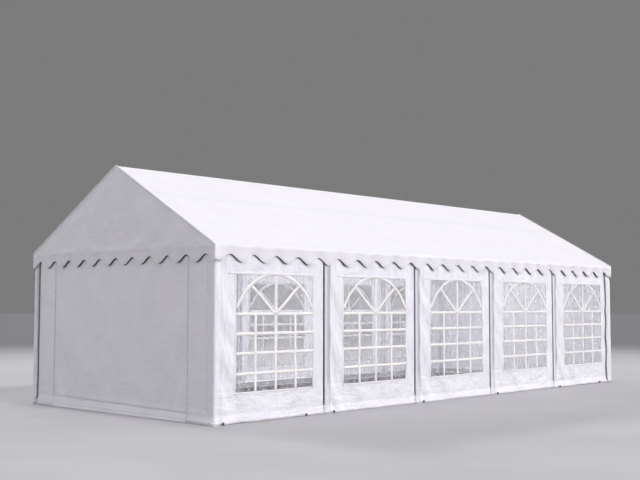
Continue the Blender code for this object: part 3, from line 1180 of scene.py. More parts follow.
def tent_palette(sizes: TentSizes) -> Palette:
    """The materials, with the painted valance shadows on the wall cloths made to fit the valances over them.
    """
    edge = sizes.end_edge
    middle = sizes.eave_z - (edge.short + edge.long) / 2
    half = (edge.long - edge.short) / 2
    over_ends = CoverWave(edge.pitch, middle, half, edge.pitch / 2)
    over_sides = CoverWave(sizes.side_edge.pitch, middle, half)
    low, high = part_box("window_film_right_1")
    window = (low.y - sizes.leg_y(0), high.y - sizes.leg_y(0))
    # side panels get painted shade over the legs and under the valances
    side = CoatedCloth(crease=0.6, steel_shade=0.85, beside=window, cover=over_sides)
    corner = replace(side, steel_shade=0.0, cover=replace(over_sides, start=0.08))
    gable = CoatedCloth(crease=0.25, light_depth=0.0004)
    welt = replace(gable, colour=(0.98, 0.98, 0.99), shade=(0.96, 0.96, 0.97), crease=0.1, roughness=0.34)
    roof = CoatedCloth(
        colour=(0.95, 0.945, 0.985),
        shade=(0.915, 0.91, 0.955),
        # fold places the painted shade band along each slope
        fold=0.86,
        crease=0.12,
        roughness=0.36,
        soil_reach=0.1,
        light_depth=0.0003,
    )
    return Palette(
        roof=roof.material("roof cloth"),
        gable=gable.material("gable cloth"),
        wall=CoatedCloth(crease=0.2, cover=over_ends).material("wall cloth"),
        side=side.material("side panel cloth"),
        corner=corner.material("corner panel cloth"),
        welt=welt.material("welt"),
        film=ClearFilm().material("window film"),
        bars=PrintedBar().material("window bars"),
        tape=ZipPlastic(colour=(0.86, 0.86, 0.88)).material("zip tape"),
        zip=ZipPlastic(colour=(0.78, 0.785, 0.80), thread=0.003).material("zip coil"),
        # dark tape put in the slits as painted shade
        dark_tape=ZipPlastic(colour=(0.15, 0.15, 0.16)).material("dark tape"),
        zinc=ZincSteel().material("zinc steel"),
        dark_steel=ZincSteel(bright=(0.16, 0.16, 0.17), dull=(0.07, 0.07, 0.075)).material("dark steel"),
    )


def rounded(corners: Sequence[Pair], radii: Sequence[float], steps: int = 8) -> Array:
    """A line through corners, each inner one rounded with its radius.

    Args:
        corners: The corners.
        radii: The radius of each inner corner.
        steps: Number of short lines in each rounding.

    Returns:
        The line's points, one row each.
    """
    points = [np.array(corners[0], float)]
    for before, corner, after, radius in zip(corners, corners[1:], corners[2:], radii):
        back = np.subtract(before, corner) / np.linalg.norm(np.subtract(before, corner))
        ahead = np.subtract(after, corner) / np.linalg.norm(np.subtract(after, corner))
        half = math.acos(np.clip(back @ ahead, -1, 1)) / 2
        reach = radius / math.tan(half)
        start, end = corner + back * reach, corner + ahead * reach
        for t in np.linspace(0, 1, steps + 1):
            points.append((1 - t) ** 2 * start + 2 * t * (1 - t) * np.array(corner, float) + t**2 * end)
    points.append(np.array(corners[-1], float))
    return np.array(points)


@dataclass(frozen=True)
class Profile:
    """A line in a plane, by a measure that grows along it.

    Attributes:
        along: The measure at each point.
        points: The points.
    """

    along: Array
    points: Array

    def at(self, measure: Array) -> tuple[Array, Array]:
        """The two coordinates at each measure."""
        return tuple(np.interp(measure, self.along, self.points[:, k]) for k in (0, 1))

    def outward(self, measure: Array) -> tuple[Array, Array]:
        """The unit direction to the right of the line at each measure."""
        first, second = (np.stack(self.at(measure + step)) for step in (-0.002, 0.002))
        heading = (second - first) / np.linalg.norm(second - first, axis=0)
        return heading[1], -heading[0]


def binding(path: Array, outward: Triple, half_width: float = 0.0075, half_depth: float = 0.0028) -> BMesh:
    """A bound edge that follows a path, with its depth the same way all along."""
    return swept(path, np.tile(outward, (len(path), 1)), half_width, half_depth, 6)


@dataclass(frozen=True)
class Part:
    """A part of the tent, which makes its own pieces.

    Attributes:
        sizes: The tent's sizes.
        palette: The tent's materials.
    """

    sizes: TentSizes
    palette: Palette


@dataclass(frozen=True)
class RoofCover(Part):
    """The one cloth over both slopes, with its side valances, bindings and end piping.

    Attributes:
        thickness: Thickness of the cloth.
        eave_radius: Radius of the bend at the eaves.
        ridge_radius: Radius of the bend at the ridge.
        sag: How far the slopes hang between the rafters.
        uneven: Height of the slopes' broad bumps.
        fine: Height of their small bumps.
        end_lift: How much shorter the valance is at the tent's corners.
        piping: Radius of the end piping.
        rows: Rows of the mesh from edge to edge.
        steps: Columns of the mesh in each scallop.
        seed: Seed of the unevenness.
    """

    thickness: float = 0.0015
    eave_radius: float = 0.024
    ridge_radius: float = 0.028
    sag: float = 0.010
    uneven: float = 0.0022
    fine: float = 0.0006
    end_lift: float = 0.022
    piping: float = 0.010
    rows: int = 104
    steps: int = 12
    seed: int = 11

    @property
    def profile(self) -> Profile:
        """The section of the cover, from the right valance over the ridge, measured from the ridge."""
        s = self.sizes
        right = [(s.cover_x, s.eave_z - s.valance_long), (s.cover_x, s.eave_z)]
        left = [(-x, z) for x, z in reversed(right)]
        radii = (self.eave_radius, self.ridge_radius, self.eave_radius)
        points = rounded([*right, (0.0, s.ridge_z), *left], radii)
        along = lengths(points)
        return Profile(along - along[-1] / 2, points)

    def place(self, u: Array, v: Array, lift: float = 0.0) -> Array:
        """Where a point of the cut lies: u along the tent, and v over the roof from right to left."""
        s, profile = self.sizes, self.profile
        reach = float(profile.along[-1])
        eave = reach - s.valance_long
        out = np.abs(v)
        below = np.clip((out - eave) / s.valance_long, 0, 1)
        depth = s.side_edge.depth(u) - self.end_lift * eased(np.abs(u), s.cover_y - 0.16, s.cover_y - 0.04)
        length = np.where(below > 0, eave + below * depth, out) * np.sign(v)
        bay = np.abs(np.sin(math.pi * (u + s.post_y) / s.bay)) * (np.abs(u) < s.post_y)
        taut = np.sin(math.pi * np.clip(out / eave, 0, 1)) ** 0.8
        box = ((-s.cover_y, -reach), (s.cover_y, reach))
        uneven = self.uneven * Relief.of_noise(*box, 0.35, self.seed).at(u, v)
        fine = self.fine * Relief.of_noise(*box, 0.13, self.seed + 1).at(u, v)
        off = (uneven + fine) * taut * (0.25 + 0.75 * bay) - self.sag * bay**1.4 * taut
        noise = Relief.of_noise((-s.cover_y, -1.0), (s.cover_y, 1.0), 0.12, self.seed + 2).at(u, np.sign(v))
        off = off + s.side_edge.hung(u, below, (s.cover_y - 0.15, s.cover_y), noise, np.sign(v)) + lift
        x, z = profile.at(length)
        out_x, out_z = profile.outward(length)
        return np.stack([x + off * out_x, u, z + off * out_z], axis=1)

    def cloth(self) -> None:
        """The cover itself."""
        s = self.sizes
        reach = float(self.profile.along[-1])
        bends = [side * (reach - s.valance_long * k / 6) for side in (-1, 1) for k in range(1, 9)]
        columns = round(2 * s.cover_y / s.side_edge.pitch) * self.steps
        cut = FlatCut((-s.cover_y, -reach), (s.cover_y, reach), (columns, self.rows), up=bends)
        dressing = Dressing(Slot.ROOF, self.palette.roof, "roof_cover", self.thickness)
        cover = dressing.piece("roof_cover_cloth", cut.laid(self.place))
        cut.size

    def bindings(self) -> None:
        """The bound edges along the scallops, and the piping along both ends."""
        s = self.sizes
        reach = float(self.profile.along[-1])
        dressing = Dressing(Slot.ROOF, self.palette.welt)
        along = np.linspace(-s.cover_y, s.cover_y, s.side_edge.count * 22 + 1)
        for turn in Turn:
            edge = np.full_like(along, -turn.value * (reach - 0.006))
            bound = binding(self.place(along, edge, -self.thickness / 2), (turn.value, 0.0, 0.0))
            dressing.piece(f"valance_binding_{turn.side}", bound)
        over = np.linspace(-reach + s.valance_long, reach - s.valance_long, 121)
        for turn in Turn:
            path = self.place(np.full_like(over, -turn.value * (s.cover_y - 0.002)), over, 0.003)
            outward = np.tile((0.0, -turn.value, 0.0), (len(path), 1))
            dressing.piece(f"end_piping_{turn.end}", swept(path, outward, self.piping, self.piping))

    def build(self) -> None:
        """Makes the roof cover's pieces."""
        self.cloth()
        self.bindings()


@dataclass(frozen=True)
class Gable(Part):
    """The triangle that closes one end of the roof, with its valance.

    Attributes:
        turn: Which end it closes.
        relief: Its wrinkles.
        thickness: Thickness of the cloth.
        steps: Columns of the mesh in each scallop.
        rows: Rows of the mesh.
        inset: From the roof cover's edge to the gable's own.
        pulls: Height of the pulls that spread from the apex.
        dip: Depth of the dip along the piping.
        seed: Seed of the unevenness.
    """

    turn: Turn
    relief: Relief
    thickness: float = 0.0015
    steps: int = 14
    rows: int = 34
    inset: float = 0.0035
    pulls: float = 0.0022
    dip: float = 0.004
    seed: int = 31

    @staticmethod
    def settling(sizes: TentSizes) -> SettlingCloth:
        """The gable's cloth, left to settle between the rakes and the eave."""

        def held(u: float, v: float) -> float:
            roof = sizes.ridge_z - abs(u) * sizes.rise
            return 1.0 if v > roof - 0.06 or v < sizes.eave_z + 0.02 else 0.0

        low, high = (-sizes.cover_x, sizes.eave_z), (sizes.cover_x, sizes.ridge_z)
        return SettlingCloth(low, high, held, 41, slack=0.003, limit=0.006, step=0.04)

    def fan(self, u: Array, v: Array) -> Array:
        """Pulls that spread from the apex down the cloth."""
        down = self.sizes.ridge_z - v
        turn = np.arctan2(u, np.maximum(down, 0.01))
        noise = Relief.of_noise((-1.2, 0.0), (1.2, 2.0), 0.12, self.seed).at(turn, down)
        return self.pulls * noise * eased(down, 0.05, 0.5) * (1 - eased(down, 0.8, 1.1))

    def place(self, u: Array, v: Array, lift: float = 0.0) -> Array:
        """Where a point of the cut lies: u to the right and v up, as seen from outside."""
        s = self.sizes
        below = np.clip((s.eave_z - v) / s.valance_long, 0, 1)
        z = np.where(below > 0, s.eave_z - below * s.end_edge.depth(u), v)
        to_edge = (s.ridge_z - np.abs(u) * s.rise - v) / math.hypot(1, s.rise)
        inner = eased(to_edge, 0.0, 0.12) * (1 - eased(below, 0.0, 0.3))
        noise = Relief.of_noise((-s.cover_x, -1.0), (s.cover_x, 1.0), 0.12, self.seed + 1).at(u, 0 * u)
        off = inner * (self.relief.at(u, v) + self.fan(u, v)) - self.thickness / 2
        off = off - self.dip * ridge(to_edge, 0.055, 0.040) * (1 - eased(below, 0.0, 0.1))
        off = off + s.end_edge.hung(u, below, (s.cover_x - 0.12, s.cover_x), noise, 1.0) + lift
        return self.turn.points(u, -s.cover_y - off, z)

    def build(self) -> None:
        """Makes the gable and its valance's bound edge."""
        s, end = self.sizes, self.turn.end
        half = s.cover_x - self.inset

        def trim(bm: BMesh) -> None:
            for side in (-1, 1):
                cut_along(bm, (0, s.ridge_z - self.inset * 1.2, 0), (side * s.rise, 1, 0), clear=True)

        low, high = (-half, s.eave_z - s.valance_long), (half, s.ridge_z)
        bends = [s.eave_z - s.valance_long * k / 6 for k in range(-1, 6)]
        cut = FlatCut(low, high, (s.end_edge.count * self.steps, self.rows), up=bends)
        dressing = Dressing(Slot.ROOF, self.palette.gable, f"gable_{end}", self.thickness)
        cloth = dressing.piece(f"gable_{end}_cloth", cut.laid(self.place, trim))
        cut.size
        s.truss(self.turn)
        along = np.linspace(-half, half, s.end_edge.count * 24 + 1)
        path = self.place(along, np.full_like(along, low[1] + 0.006), self.thickness / 2)
        bound = binding(path, (0.0, -self.turn.value, 0.0))
        Dressing(Slot.ROOF, self.palette.welt).piece(f"gable_binding_{end}", bound)


@dataclass(frozen=True)
class Window:
    """The window of a side panel, with its printed bars.

    Attributes:
        low: Lower corner nearer the front.
        high: Upper corner.
        lap: How far the film laps the cloth.
        bar: Width of a bar.
        weld: Width of the welded strip round the window.
        weld_tail: How far the upper strip runs on past the window's corner.
        springing: Height of the bar that the arch stands on.
        arch: Radius of the arch.
        rise: Height of the arch's top.
        columns: From the middle to the outer upright bars.
        rungs: Heights of the level bars below the springing.
        spoke: Where a slanting spoke meets the arch, from the foot of the spokes.
    """

    low: Pair
    high: Pair
    lap: float = 0.03
    bar: float = 0.042
    weld: float = 0.026
    weld_tail: float = 0.11
    springing: float = 1.343
    arch: float = 0.740
    rise: float = 1.853
    columns: float = 0.355
    rungs: tuple[float, ...] = (1.098, 0.853, 0.601)
    spoke: Pair = (0.438, 0.369)

    @classmethod
    def of_bay(cls, sizes: TentSizes, bay: int) -> "Window":
        """The window of a bay, in the panel's own measure from its leg."""
        low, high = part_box(f"window_film_right_{bay + 1}")
        leg, lap = sizes.leg_y(bay), cls.lap
        return cls((low.y + lap - leg, low.z + lap), (high.y - lap - leg, high.z - lap))

    @property
    def middle(self) -> float:
        """The place of its middle along the wall."""
        return (self.low[0] + self.high[0]) / 2

    def has(self, u: float, v: float) -> bool:
        """Whether a place is in the opening."""
        return self.low[0] < u < self.high[0] and self.low[1] < v < self.high[1]

    def bars(self) -> list[Array]:
        """The middle line of each bar, as points of the panel's cut."""
        (left, sill), (right, _), middle = self.low, self.high, self.middle
        outer = [middle + side * self.columns for side in (-1, 1)]
        across, up = self.spoke
        foot = (middle, self.springing)
        lines = [line((left, z), (right, z)) for z in (self.springing, *self.rungs)]
        lines += [line((x, sill), (x, self.springing)) for x in outer]
        lines.append(line((middle, sill), (middle, self.rise)))
        lines += [line(foot, (middle + side * across, self.springing + up)) for side in (-1, 1)]
        half = (right - left) / 2 - self.bar / 4
        swing = math.asin(half / self.arch)
        angles = np.linspace(-swing, swing, 61)
        centre = self.rise - self.arch
        x, z = middle + self.arch * np.sin(angles), centre + self.arch * np.cos(angles)
        return [*lines, np.stack([x, z], axis=1)]

    def welds(self) -> list[Array]:
        """The middle line of each welded strip round the opening."""
        reach = self.weld / 2
        (left, sill), (right, head) = self.low, self.high
        left, right, sill, head = left - reach, right + reach, sill - reach, head + reach
        return [
            line((left, sill - reach), (left, head + reach)),
            line((right, sill - reach), (right, head + reach)),
            line((left - reach, sill), (right + reach, sill)),
            line((left - self.weld_tail, head), (right + reach, head)),
        ]


@dataclass(frozen=True)
class SidePanel(Part):
    """One bay of a side wall: its cloth, the film of its window, and the strips welded onto both.

    Attributes:
        turn: Which long side it is on.
        bay: Its bay, counted from 0.
        relief: Its wrinkles.
        thickness: Thickness of the cloth.
        film_thickness: Thickness of the window's film.
        step: Length of the mesh's edges.
        start: From the leg back to where the panel starts.
        tail: From the panel's end to the next leg.
        turn_in: How far both edges turn in.
        wide_flap: How far the first panel reaches onto the front, from the corner leg's outer face.
        narrow_flap: How far the last panel reaches onto the back.
        loose_off: How far the last panel's free edge stands off.
        loose_top: How much less it does behind the valance.
        seam: From the leg to the upright seam.
        hem: Height of the seam above the hem's edge.
        flare: How far the hem runs out over the ground.
        end_flare: How far it does on the tent's end.
        fold: Height from which the hem runs out.
        tape: Width of the tape on the last panel.
        tape_inset: From that tape to the corner leg.
        seed: Seed of the unevenness.
    """

    turn: Turn
    bay: int
    relief: Relief
    thickness: float = 0.0013
    film_thickness: float = 0.0005
    step: float = 0.026
    start: float = 0.050
    tail: float = 0.091
    turn_in: float = 0.046
    wide_flap: float = 0.14
    narrow_flap: float = 0.044
    loose_off: float = 0.038
    loose_top: float = 0.021
    seam: float = 0.128
    hem: float = 0.042
    flare: float = 0.024
    end_flare: float = 0.034
    fold: float = 0.112
    tape: float = 0.040
    tape_inset: float = 0.125
    seed: int = 51

    @property
    def name(self) -> str:
        """The panel's side and number."""
        return f"{self.turn.side}_{self.bay + 1}"

    @property
    def last_bay(self) -> bool:
        """Whether it is the last panel of its side."""
        return self.bay == self.sizes.bays - 1

    @property
    def window(self) -> Window:
        """The window, in the panel's own measure from its leg."""
        return Window.of_bay(self.sizes, self.bay)

    @property
    def heights(self) -> Pair:
        """Heights of the cloth's lower and upper edge."""
        low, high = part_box(f"side_panel_right_{self.bay + 1}")
        return low.z, high.z

    @property
    def profile(self) -> Profile:
        """The panel's outer line seen from above, measured along the wall from its leg."""
        s = self.sizes
        first, last = s.leg_y(self.bay), s.leg_y(self.bay + 1)
        start, flap, bend = first - self.start, self.turn_in, 0.008
        if self.bay == 0:
            start, flap, bend = -s.wall_y, self.wide_flap, s.wall_x - s.post_x
        end, end_flap, end_bend = last - self.tail, self.turn_in / 2, 0.004
        if self.last_bay:
            end, end_flap, end_bend = s.wall_y, self.narrow_flap, s.wall_x - s.post_x
        corners = [(s.wall_x - flap, start), (s.wall_x, start), (s.wall_x, end), (s.wall_x - end_flap, end)]
        points = rounded(corners, (bend, end_bend), 10)
        along = lengths(points)
        on_wall = int(np.argmin(np.abs(points[:, 1] - first) + 10 * (points[:, 0] < s.wall_x - 1e-6)))
        return Profile(along - along[on_wall] + points[on_wall, 1] - first, points)

    @staticmethod
    def settling(sizes: TentSizes, bay: int) -> SettlingCloth:
        """The panel's cloth, left to settle between the legs, the eave and the ties of its hem."""
        width, tie = sizes.bay - 0.075, 0.47
        low, high = (-0.06, 0.01), (width, sizes.eave_z)
        window = Window.of_bay(sizes, 0)

        def held(u: float, v: float) -> float:
            if u < 0.015 or u > width - 0.02 or v > high[1] - 0.12:
                return 1.0
            if v < 0.04:
                return 0.9 if abs((u - 0.09) % tie - tie / 2) > tie / 2 - 0.03 else 0.25
            beside = max(window.low[0] - u, u - window.high[0], window.low[1] - v, v - window.high[1])
            return 0.25 if abs(beside) < 0.02 else 0.0

        def taut(u: float, v: float) -> float:
            if window.has(u, v):
                return 0.55
            return 0.0 if v < window.low[1] else 0.3

        return SettlingCloth(low, high, held, 60 + bay, slack=0.0055 + 0.001 * (bay % 3), taut=taut)

    def pole_roll(self, m: Array) -> Array:
        """How far the cloth stands off over the leg where the panel starts, and dips beside it."""
        if self.bay == 0:
            return -0.0050 * ridge(m, 0.064, 0.030)
        beside = 0.0028 * ridge(m, 0.068, 0.020) - 0.0035 * ridge(m, 0.026, 0.016)
        return 0.010 * ridge(m, -0.018, 0.026) + beside

    def streaks(self, m: Array, z: Array) -> Array:
        """Drawn-out creases: level ones below and above the window, upright ones beside it."""
        window, seed = self.window, self.seed + 20 + self.bay
        beside = np.maximum(window.low[0] - m, m - window.high[0])
        outside = np.maximum(window.low[1] - z, z - window.high[1])
        level = Relief.of_noise((-0.3, -1.0), (2.3, 2.4), 0.19, seed, 0.055).at(m, z - 0.34 * m)
        upright = Relief.of_noise((-0.3, -0.1), (2.3, 2.4), 0.045, seed + 40, 0.16).at(m, z)
        share = eased(beside - outside, -0.10, 0.10)
        clear = 1 - 0.9 * eased(-np.maximum(beside, outside), 0.0, 0.05)
        return clear * (0.0021 * level * (1 - share) + 0.0026 * upright * share)

    def seams(self, m: Array, z: Array) -> Array:
        """The grooves of the seams, and the dip above the hem's fold."""
        groove = ridge(m, self.seam, 0.005) + ridge(m, -0.113, 0.005)
        low, _ = self.heights
        return -0.0009 * groove - 0.0008 * ridge(z, low + self.hem, 0.006) - 0.0016 * ridge(z, 0.122, 0.02)

    def place(self, m: Array, z: Array, lift: float = 0.0) -> Array:
        """Where a point of the cut lies: m along the wall from the leg, and z its height."""
        profile = self.profile
        first, last = float(profile.along[0]), float(profile.along[-1])
        seed = self.seed + self.bay + 10 * (self.turn is Turn.HALF)
        sway = Relief.of_noise((first, 0.0), (last, 2.0), 0.16, seed).at(m, z)
        edges = eased(m, max(first, -0.03), 0.10) * (1 - eased(m, last - 0.07, last - 0.015))
        off = edges * self.relief.at(m, z) + self.pole_roll(m) * (1 - 0.5 * eased(z, 1.9, 2.05))
        loose = eased(m, last - 0.24, last - 0.07) * self.last_bay
        off = off + (self.loose_off - self.loose_top * eased(z, 1.93, 2.0)) * loose
        edges = edges * (1 - loose)
        onto_end = (1 - eased(m, -0.10, -0.02)) * (not self.last_bay)
        flare = (self.flare + 0.005 * sway * edges) * (1 - onto_end) + self.end_flare * onto_end
        off = off + flare * (1 - 0.9 * loose) * np.clip(1 - z / self.fold, 0, 1) ** 1.3 + self.seams(m, z)
        off = off + edges * self.streaks(m, z) + 0.0016 * sway * edges * eased(z, 1.6, 2.0) + lift
        x, y = profile.at(m)
        out_x, out_y = profile.outward(m)
        return self.turn.points(x + off * out_x, y + off * out_y, z)

    def cloth(self) -> None:
        """The panel's cloth, with the window cut out."""
        window, profile = self.window, self.profile
        low, high = self.heights
        first, last = float(profile.along[0]), float(profile.along[-1])
        bends = [m for m in profile.along[1:-1] if m < 0.03 or m > last - 0.1]
        seams = [self.seam + k * 0.005 for k in (-1, 0, 1)]
        rolls = [0.02, 0.04, 0.06]
        if self.bay:
            rolls = [-0.03, -0.018, -0.006, 0.006, 0.018, 0.035, 0.05, 0.068, 0.085]
        hems = [low + self.hem + k * 0.006 for k in (-1, 0, 1)]
        cut = FlatCut.even(
            (first, low),
            (last, high),
            self.step,
            across=[*bends, *rolls, *seams, window.low[0], window.high[0]],
            up=[*hems, 0.09, window.low[1], window.high[1]],
            keep=lambda u, v: not window.has(u, v),
        )
        node, side = f"side_panel_{self.name}", self.turn.side
        material = self.palette.side if self.bay else self.palette.corner
        dressing = Dressing(Slot.WALL, material, node, self.thickness)
        cloth = dressing.piece(f"{node}_cloth", cut.laid(self.place))
        strips = Dressing(Slot.WALL, self.palette.welt, thickness=0.0011)
        cut.size
        self.strips("weld", strips, window.welds(), window.weld, 0.0007)

    def strips(
        self, kind: str, dressing: Dressing, lines: list[Array], width: float, lift: float
    ) -> bpy.types.Object:
        """Strips on the panel as one piece, each a little higher than the last so that they cross cleanly.

        Args:
            kind: What the strips are.
            dressing: What makes them a piece.
            lines: Their middle lines.
            width: Their width.
            lift: From the cloth's outer face to theirs.

        Returns:
            The piece.
        """
        places = [partial(self.place, lift=lift + 0.0001 * index) for index in range(len(lines))]
        parts = [strip(path, width, place) for path, place in zip(lines, places)]
        return dressing.piece(f"window_{kind}_{self.name}", joined(parts))

    def film(self) -> None:
        """The film of the window, behind the cloth, with its bars on it."""
        window = self.window
        low = tuple(value - window.lap for value in window.low)
        high = tuple(value + window.lap for value in window.high)
        cut = FlatCut.even(low, high, 0.03)
        behind = -self.thickness - 0.0004
        node = f"window_film_{self.name}"
        dressing = Dressing(Slot.FILM, self.palette.film, node, self.film_thickness)
        film = dressing.piece(f"{node}_clear", cut.laid(partial(self.place, lift=behind)))
        strips = Dressing(Slot.BARS, self.palette.bars, thickness=0.0014)
        bars = self.strips("bars", strips, window.bars(), window.bar, behind + 0.0009)
        cut.size

    def corner_tape(self) -> None:
        """The dark tape on the last panel beside the corner leg, put there as painted shade for the slot."""
        s = self.sizes
        foot = (s.bay - self.tape_inset, self.heights[0] + 0.03)
        place = partial(self.place, lift=0.0018)
        dressing = Dressing(Slot.ZIP, self.palette.dark_tape, thickness=0.0007)
        dressing.tape(f"corner_tape_{self.name}", foot, s.eave_z - s.tape_top, self.tape, place)

    def build(self) -> None:
        """Makes the panel's pieces."""
        self.cloth()
        self.film()
        if self.last_bay:
            self.corner_tape()


def block(bm: BMesh, size: Triple) -> list[bmesh.types.BMVert]:
    """Adds a block of a size round the origin, and gives its corners."""
    made = bmesh.ops.create_cube(bm, size=1.0)["verts"]
    bmesh.ops.scale(bm, vec=size, verts=made)
    return made


def stud(bm: BMesh, sides: int, radii: Pair, height: float, up: float = 0.0) -> list[bmesh.types.BMVert]:
    """Adds a round stud that stands along Z.

    Args:
        bm: The mesh that it goes into.
        sides: Number of faces round it.
        radii: Its radius at the foot and at the top.
        height: Its height.
        up: Height of its middle.

    Returns:
        Its corners.
    """
    first, second = radii
    place = Matrix.Translation((0, 0, up))
    made = bmesh.ops.create_cone(
        bm, cap_ends=True, segments=sides, radius1=first, radius2=second, depth=height, matrix=place
    )
    return made["verts"]


@dataclass(frozen=True)
class EndWall(Part):
    """The wall below a gable, with the wide panel that two zips hold in its doorway.

    Attributes:
        turn: Which end it closes.
        relief: The door panel's wrinkles.
        thickness: Thickness of the cloth.
        step: Length of the door panel's mesh edges.
        wall_step: Length of the wall's mesh edges.
        lap: How far the wall's cloth runs on behind the corner's wide flap.
        press: Width over which that flap presses it in.
        seam: From a zip to the seam beside it.
        tape: Width of the tape along the free edge.
        zip_tape: Width of a zip's tape.
        zip_feet: Heights at which the left and the right zip start.
        tooth: Distance between a zip's teeth.
        fold: Height of the fold, at the middle, where the cloth runs out over the ground.
        fold_fall: How much lower the fold is for each metre to the right.
        flare: How far the cloth runs out there.
        seed: Seed of the unevenness.
    """

    turn: Turn
    relief: Relief
    thickness: float = 0.0013
    step: float = 0.034
    wall_step: float = 0.045
    lap: float = 0.02
    press: float = 0.012
    seam: float = 0.045
    tape: float = 0.030
    zip_tape: float = 0.026
    zip_feet: Pair = (0.26, 0.05)
    tooth: float = 0.008
    fold: float = 0.136
    fold_fall: float = 0.0125
    flare: float = 0.034
    seed: int = 91

    @staticmethod
    def settling() -> SettlingCloth:
        """The door panel's cloth, left to settle between its zips."""
        low, high = EndWall.doorway()

        def held(u: float, v: float) -> float:
            if v > high[1] - 0.1:
                return 1.0
            if min(u - low[0], high[0] - u) < 0.03:
                return 0.85
            return 0.3 if v < low[1] + 0.03 else 0.0

        return SettlingCloth(low, high, held, 77, slack=0.004, step=0.036)

    @staticmethod
    def doorway() -> tuple[Pair, Pair]:
        """Lowest and highest corner of the door panel's cut."""
        low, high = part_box("front_door_panel")
        return (low.x, low.z), (high.x, high.z)

    def foot(self, u: Array, v: Array, sway: Array) -> Array:
        """How far the cloth stands off near the ground, where it folds off the base rail and runs out."""
        fold = self.fold - self.fold_fall * u
        run = (self.flare + 0.003 * sway) * np.clip(1 - v / fold, 0, 1) ** 1.2
        upper = 0.0065 * ridge(v, fold + 0.024, 0.020) - 0.0045 * ridge(v, fold - 0.002, 0.011)
        lower = ridge(v, 0.46 * fold, 0.010) - ridge(v, 0.32 * fold, 0.007)
        return run + upper + 0.0030 * lower

    def puckers(self, u: Array, v: Array) -> Array:
        """Short pulls beside the right zip."""
        _, (right, _) = self.doorway()
        pulls = Relief.of_noise((0.0, 0.0), (2.0, 3.3), 0.055, self.seed + 5).at(u, v + 0.5 * u)
        return 0.0016 * pulls * ridge(u, right - 0.16, 0.12) * eased(v, 0.3, 0.5) * (1 - eased(v, 1.6, 2.0))

    def place(self, u: Array, v: Array, lift: float = 0.0) -> Array:
        """Where a point of the cut lies: u to the right and v up, as seen from outside."""
        (left, _), (right, _) = self.doorway()
        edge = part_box("front_wall")[1].x
        seed = self.seed + (self.turn is Turn.HALF)
        sway = Relief.of_noise((-2.0, 0.0), (2.0, 3.3), 0.2, seed).at(u, v)
        door = eased(u, left, left + 0.1) * (1 - eased(u, right - 0.1, right))
        off = door * self.relief.at(u, v) + 0.0015 * sway * eased(v, 0.15, 0.5) + self.foot(u, v, sway)
        off = off + self.puckers(u, v) - 0.0022 * eased(u, edge - self.press, edge) + lift
        return self.turn.points(u, -self.sizes.wall_y - off, v)

    def wall(self) -> None:
        """The wall's cloth, with its doorway."""
        end, rise = self.turn.end, self.sizes.rise
        low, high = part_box("front_wall")
        (left, sill), (right, head) = self.doorway()

        def trim(bm: BMesh) -> None:
            for side in (-1, 1):
                cut_along(bm, (0, high.z, 0), (side * rise, 1, 0), clear=True)

        cut = FlatCut.even(
            (low.x, low.z),
            (high.x + self.lap, high.z),
            self.wall_step,
            across=[left, right, right + self.seam, left - self.seam, high.x - self.press, high.x],
            up=[head, 0.05, 0.13, 0.16],
            keep=lambda u, v: not (left < u < right and v < head),
        )
        dressing = Dressing(Slot.WALL, self.palette.wall, f"{end}_wall", self.thickness)
        cloth = dressing.piece(f"{end}_wall_cloth", cut.laid(self.place, trim))
        rests_on = [self.sizes.truss(self.turn), f"base_rail_{end}"]
        cut.size

    def edge_tape(self) -> None:
        """The dark tape along the wall's free edge, put in the slit behind the corner's narrow flap as
        painted shade.
        """
        foot = (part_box("front_wall")[0].x + self.tape / 2, 0.09)
        top = self.sizes.eave_z - self.sizes.tape_top
        place = partial(self.place, lift=0.0028)
        dressing = Dressing(Slot.ZIP, self.palette.dark_tape, thickness=0.0007)
        dressing.tape(f"edge_tape_{self.turn.end}", foot, top, self.tape, place)

    def door(self) -> None:
        """The door panel's cloth."""
        end = self.turn.end
        folds = [0.02, 0.034, 0.05, 0.066, 0.1, 0.118, 0.132, 0.146, 0.16]
        cut = FlatCut.even(*self.doorway(), self.step, up=folds)
        dressing = Dressing(Slot.WALL, self.palette.wall, f"{end}_door_panel", self.thickness)
        cloth = dressing.piece(f"{end}_door_panel_cloth", cut.laid(self.place))
        cut.size
        self.zips()

    def zips(self) -> list[bpy.types.Object]:
        """Both zips: a tape, the teeth along it, and the slider with its pull."""
        (left, _), (right, head) = self.doorway()
        place = partial(self.place, lift=0.0006)
        woven = Dressing(Slot.ZIP, self.palette.tape, thickness=0.0006)
        coil, steel = Dressing(Slot.ZIP, self.palette.zip), Dressing(Slot.ZIP, self.palette.zinc)
        pieces = []
        for side, x, foot in zip(("left", "right"), (left, right), self.zip_feet):
            name = f"{self.turn.end}_{side}"
            pieces.append(woven.tape(f"zip_tape_{name}", (x, foot), head, self.zip_tape, place))
            pieces.append(coil.piece(f"zip_coil_{name}", self.teeth(x, foot, head)))
            pieces.append(steel.piece(f"zip_slider_{name}", self.slider(x, foot + 0.02)))
        return pieces

    def point(self, u: float, v: float, lift: float) -> Vector:
        """One place of the cut."""
        return Vector(self.place(np.array([u]), np.array([v]), lift)[0])

    def teeth(self, x: float, low: float, high: float) -> BMesh:
        """The zip's teeth, one small block for each, leaning left and right in turn."""
        bm = bmesh.new()
        for index in range(int((high - low - 0.02) / self.tooth)):
            at = self.point(x, low + 0.015 + index * self.tooth, 0.0018)
            lean = Matrix.Rotation(math.radians(9 if index % 2 else -9), 4, "Y")
            tooth = block(bm, (0.0075, 0.0022, 0.0055))
            bmesh.ops.transform(bm, matrix=Matrix.Translation(at) @ lean, verts=tooth)
        return bm

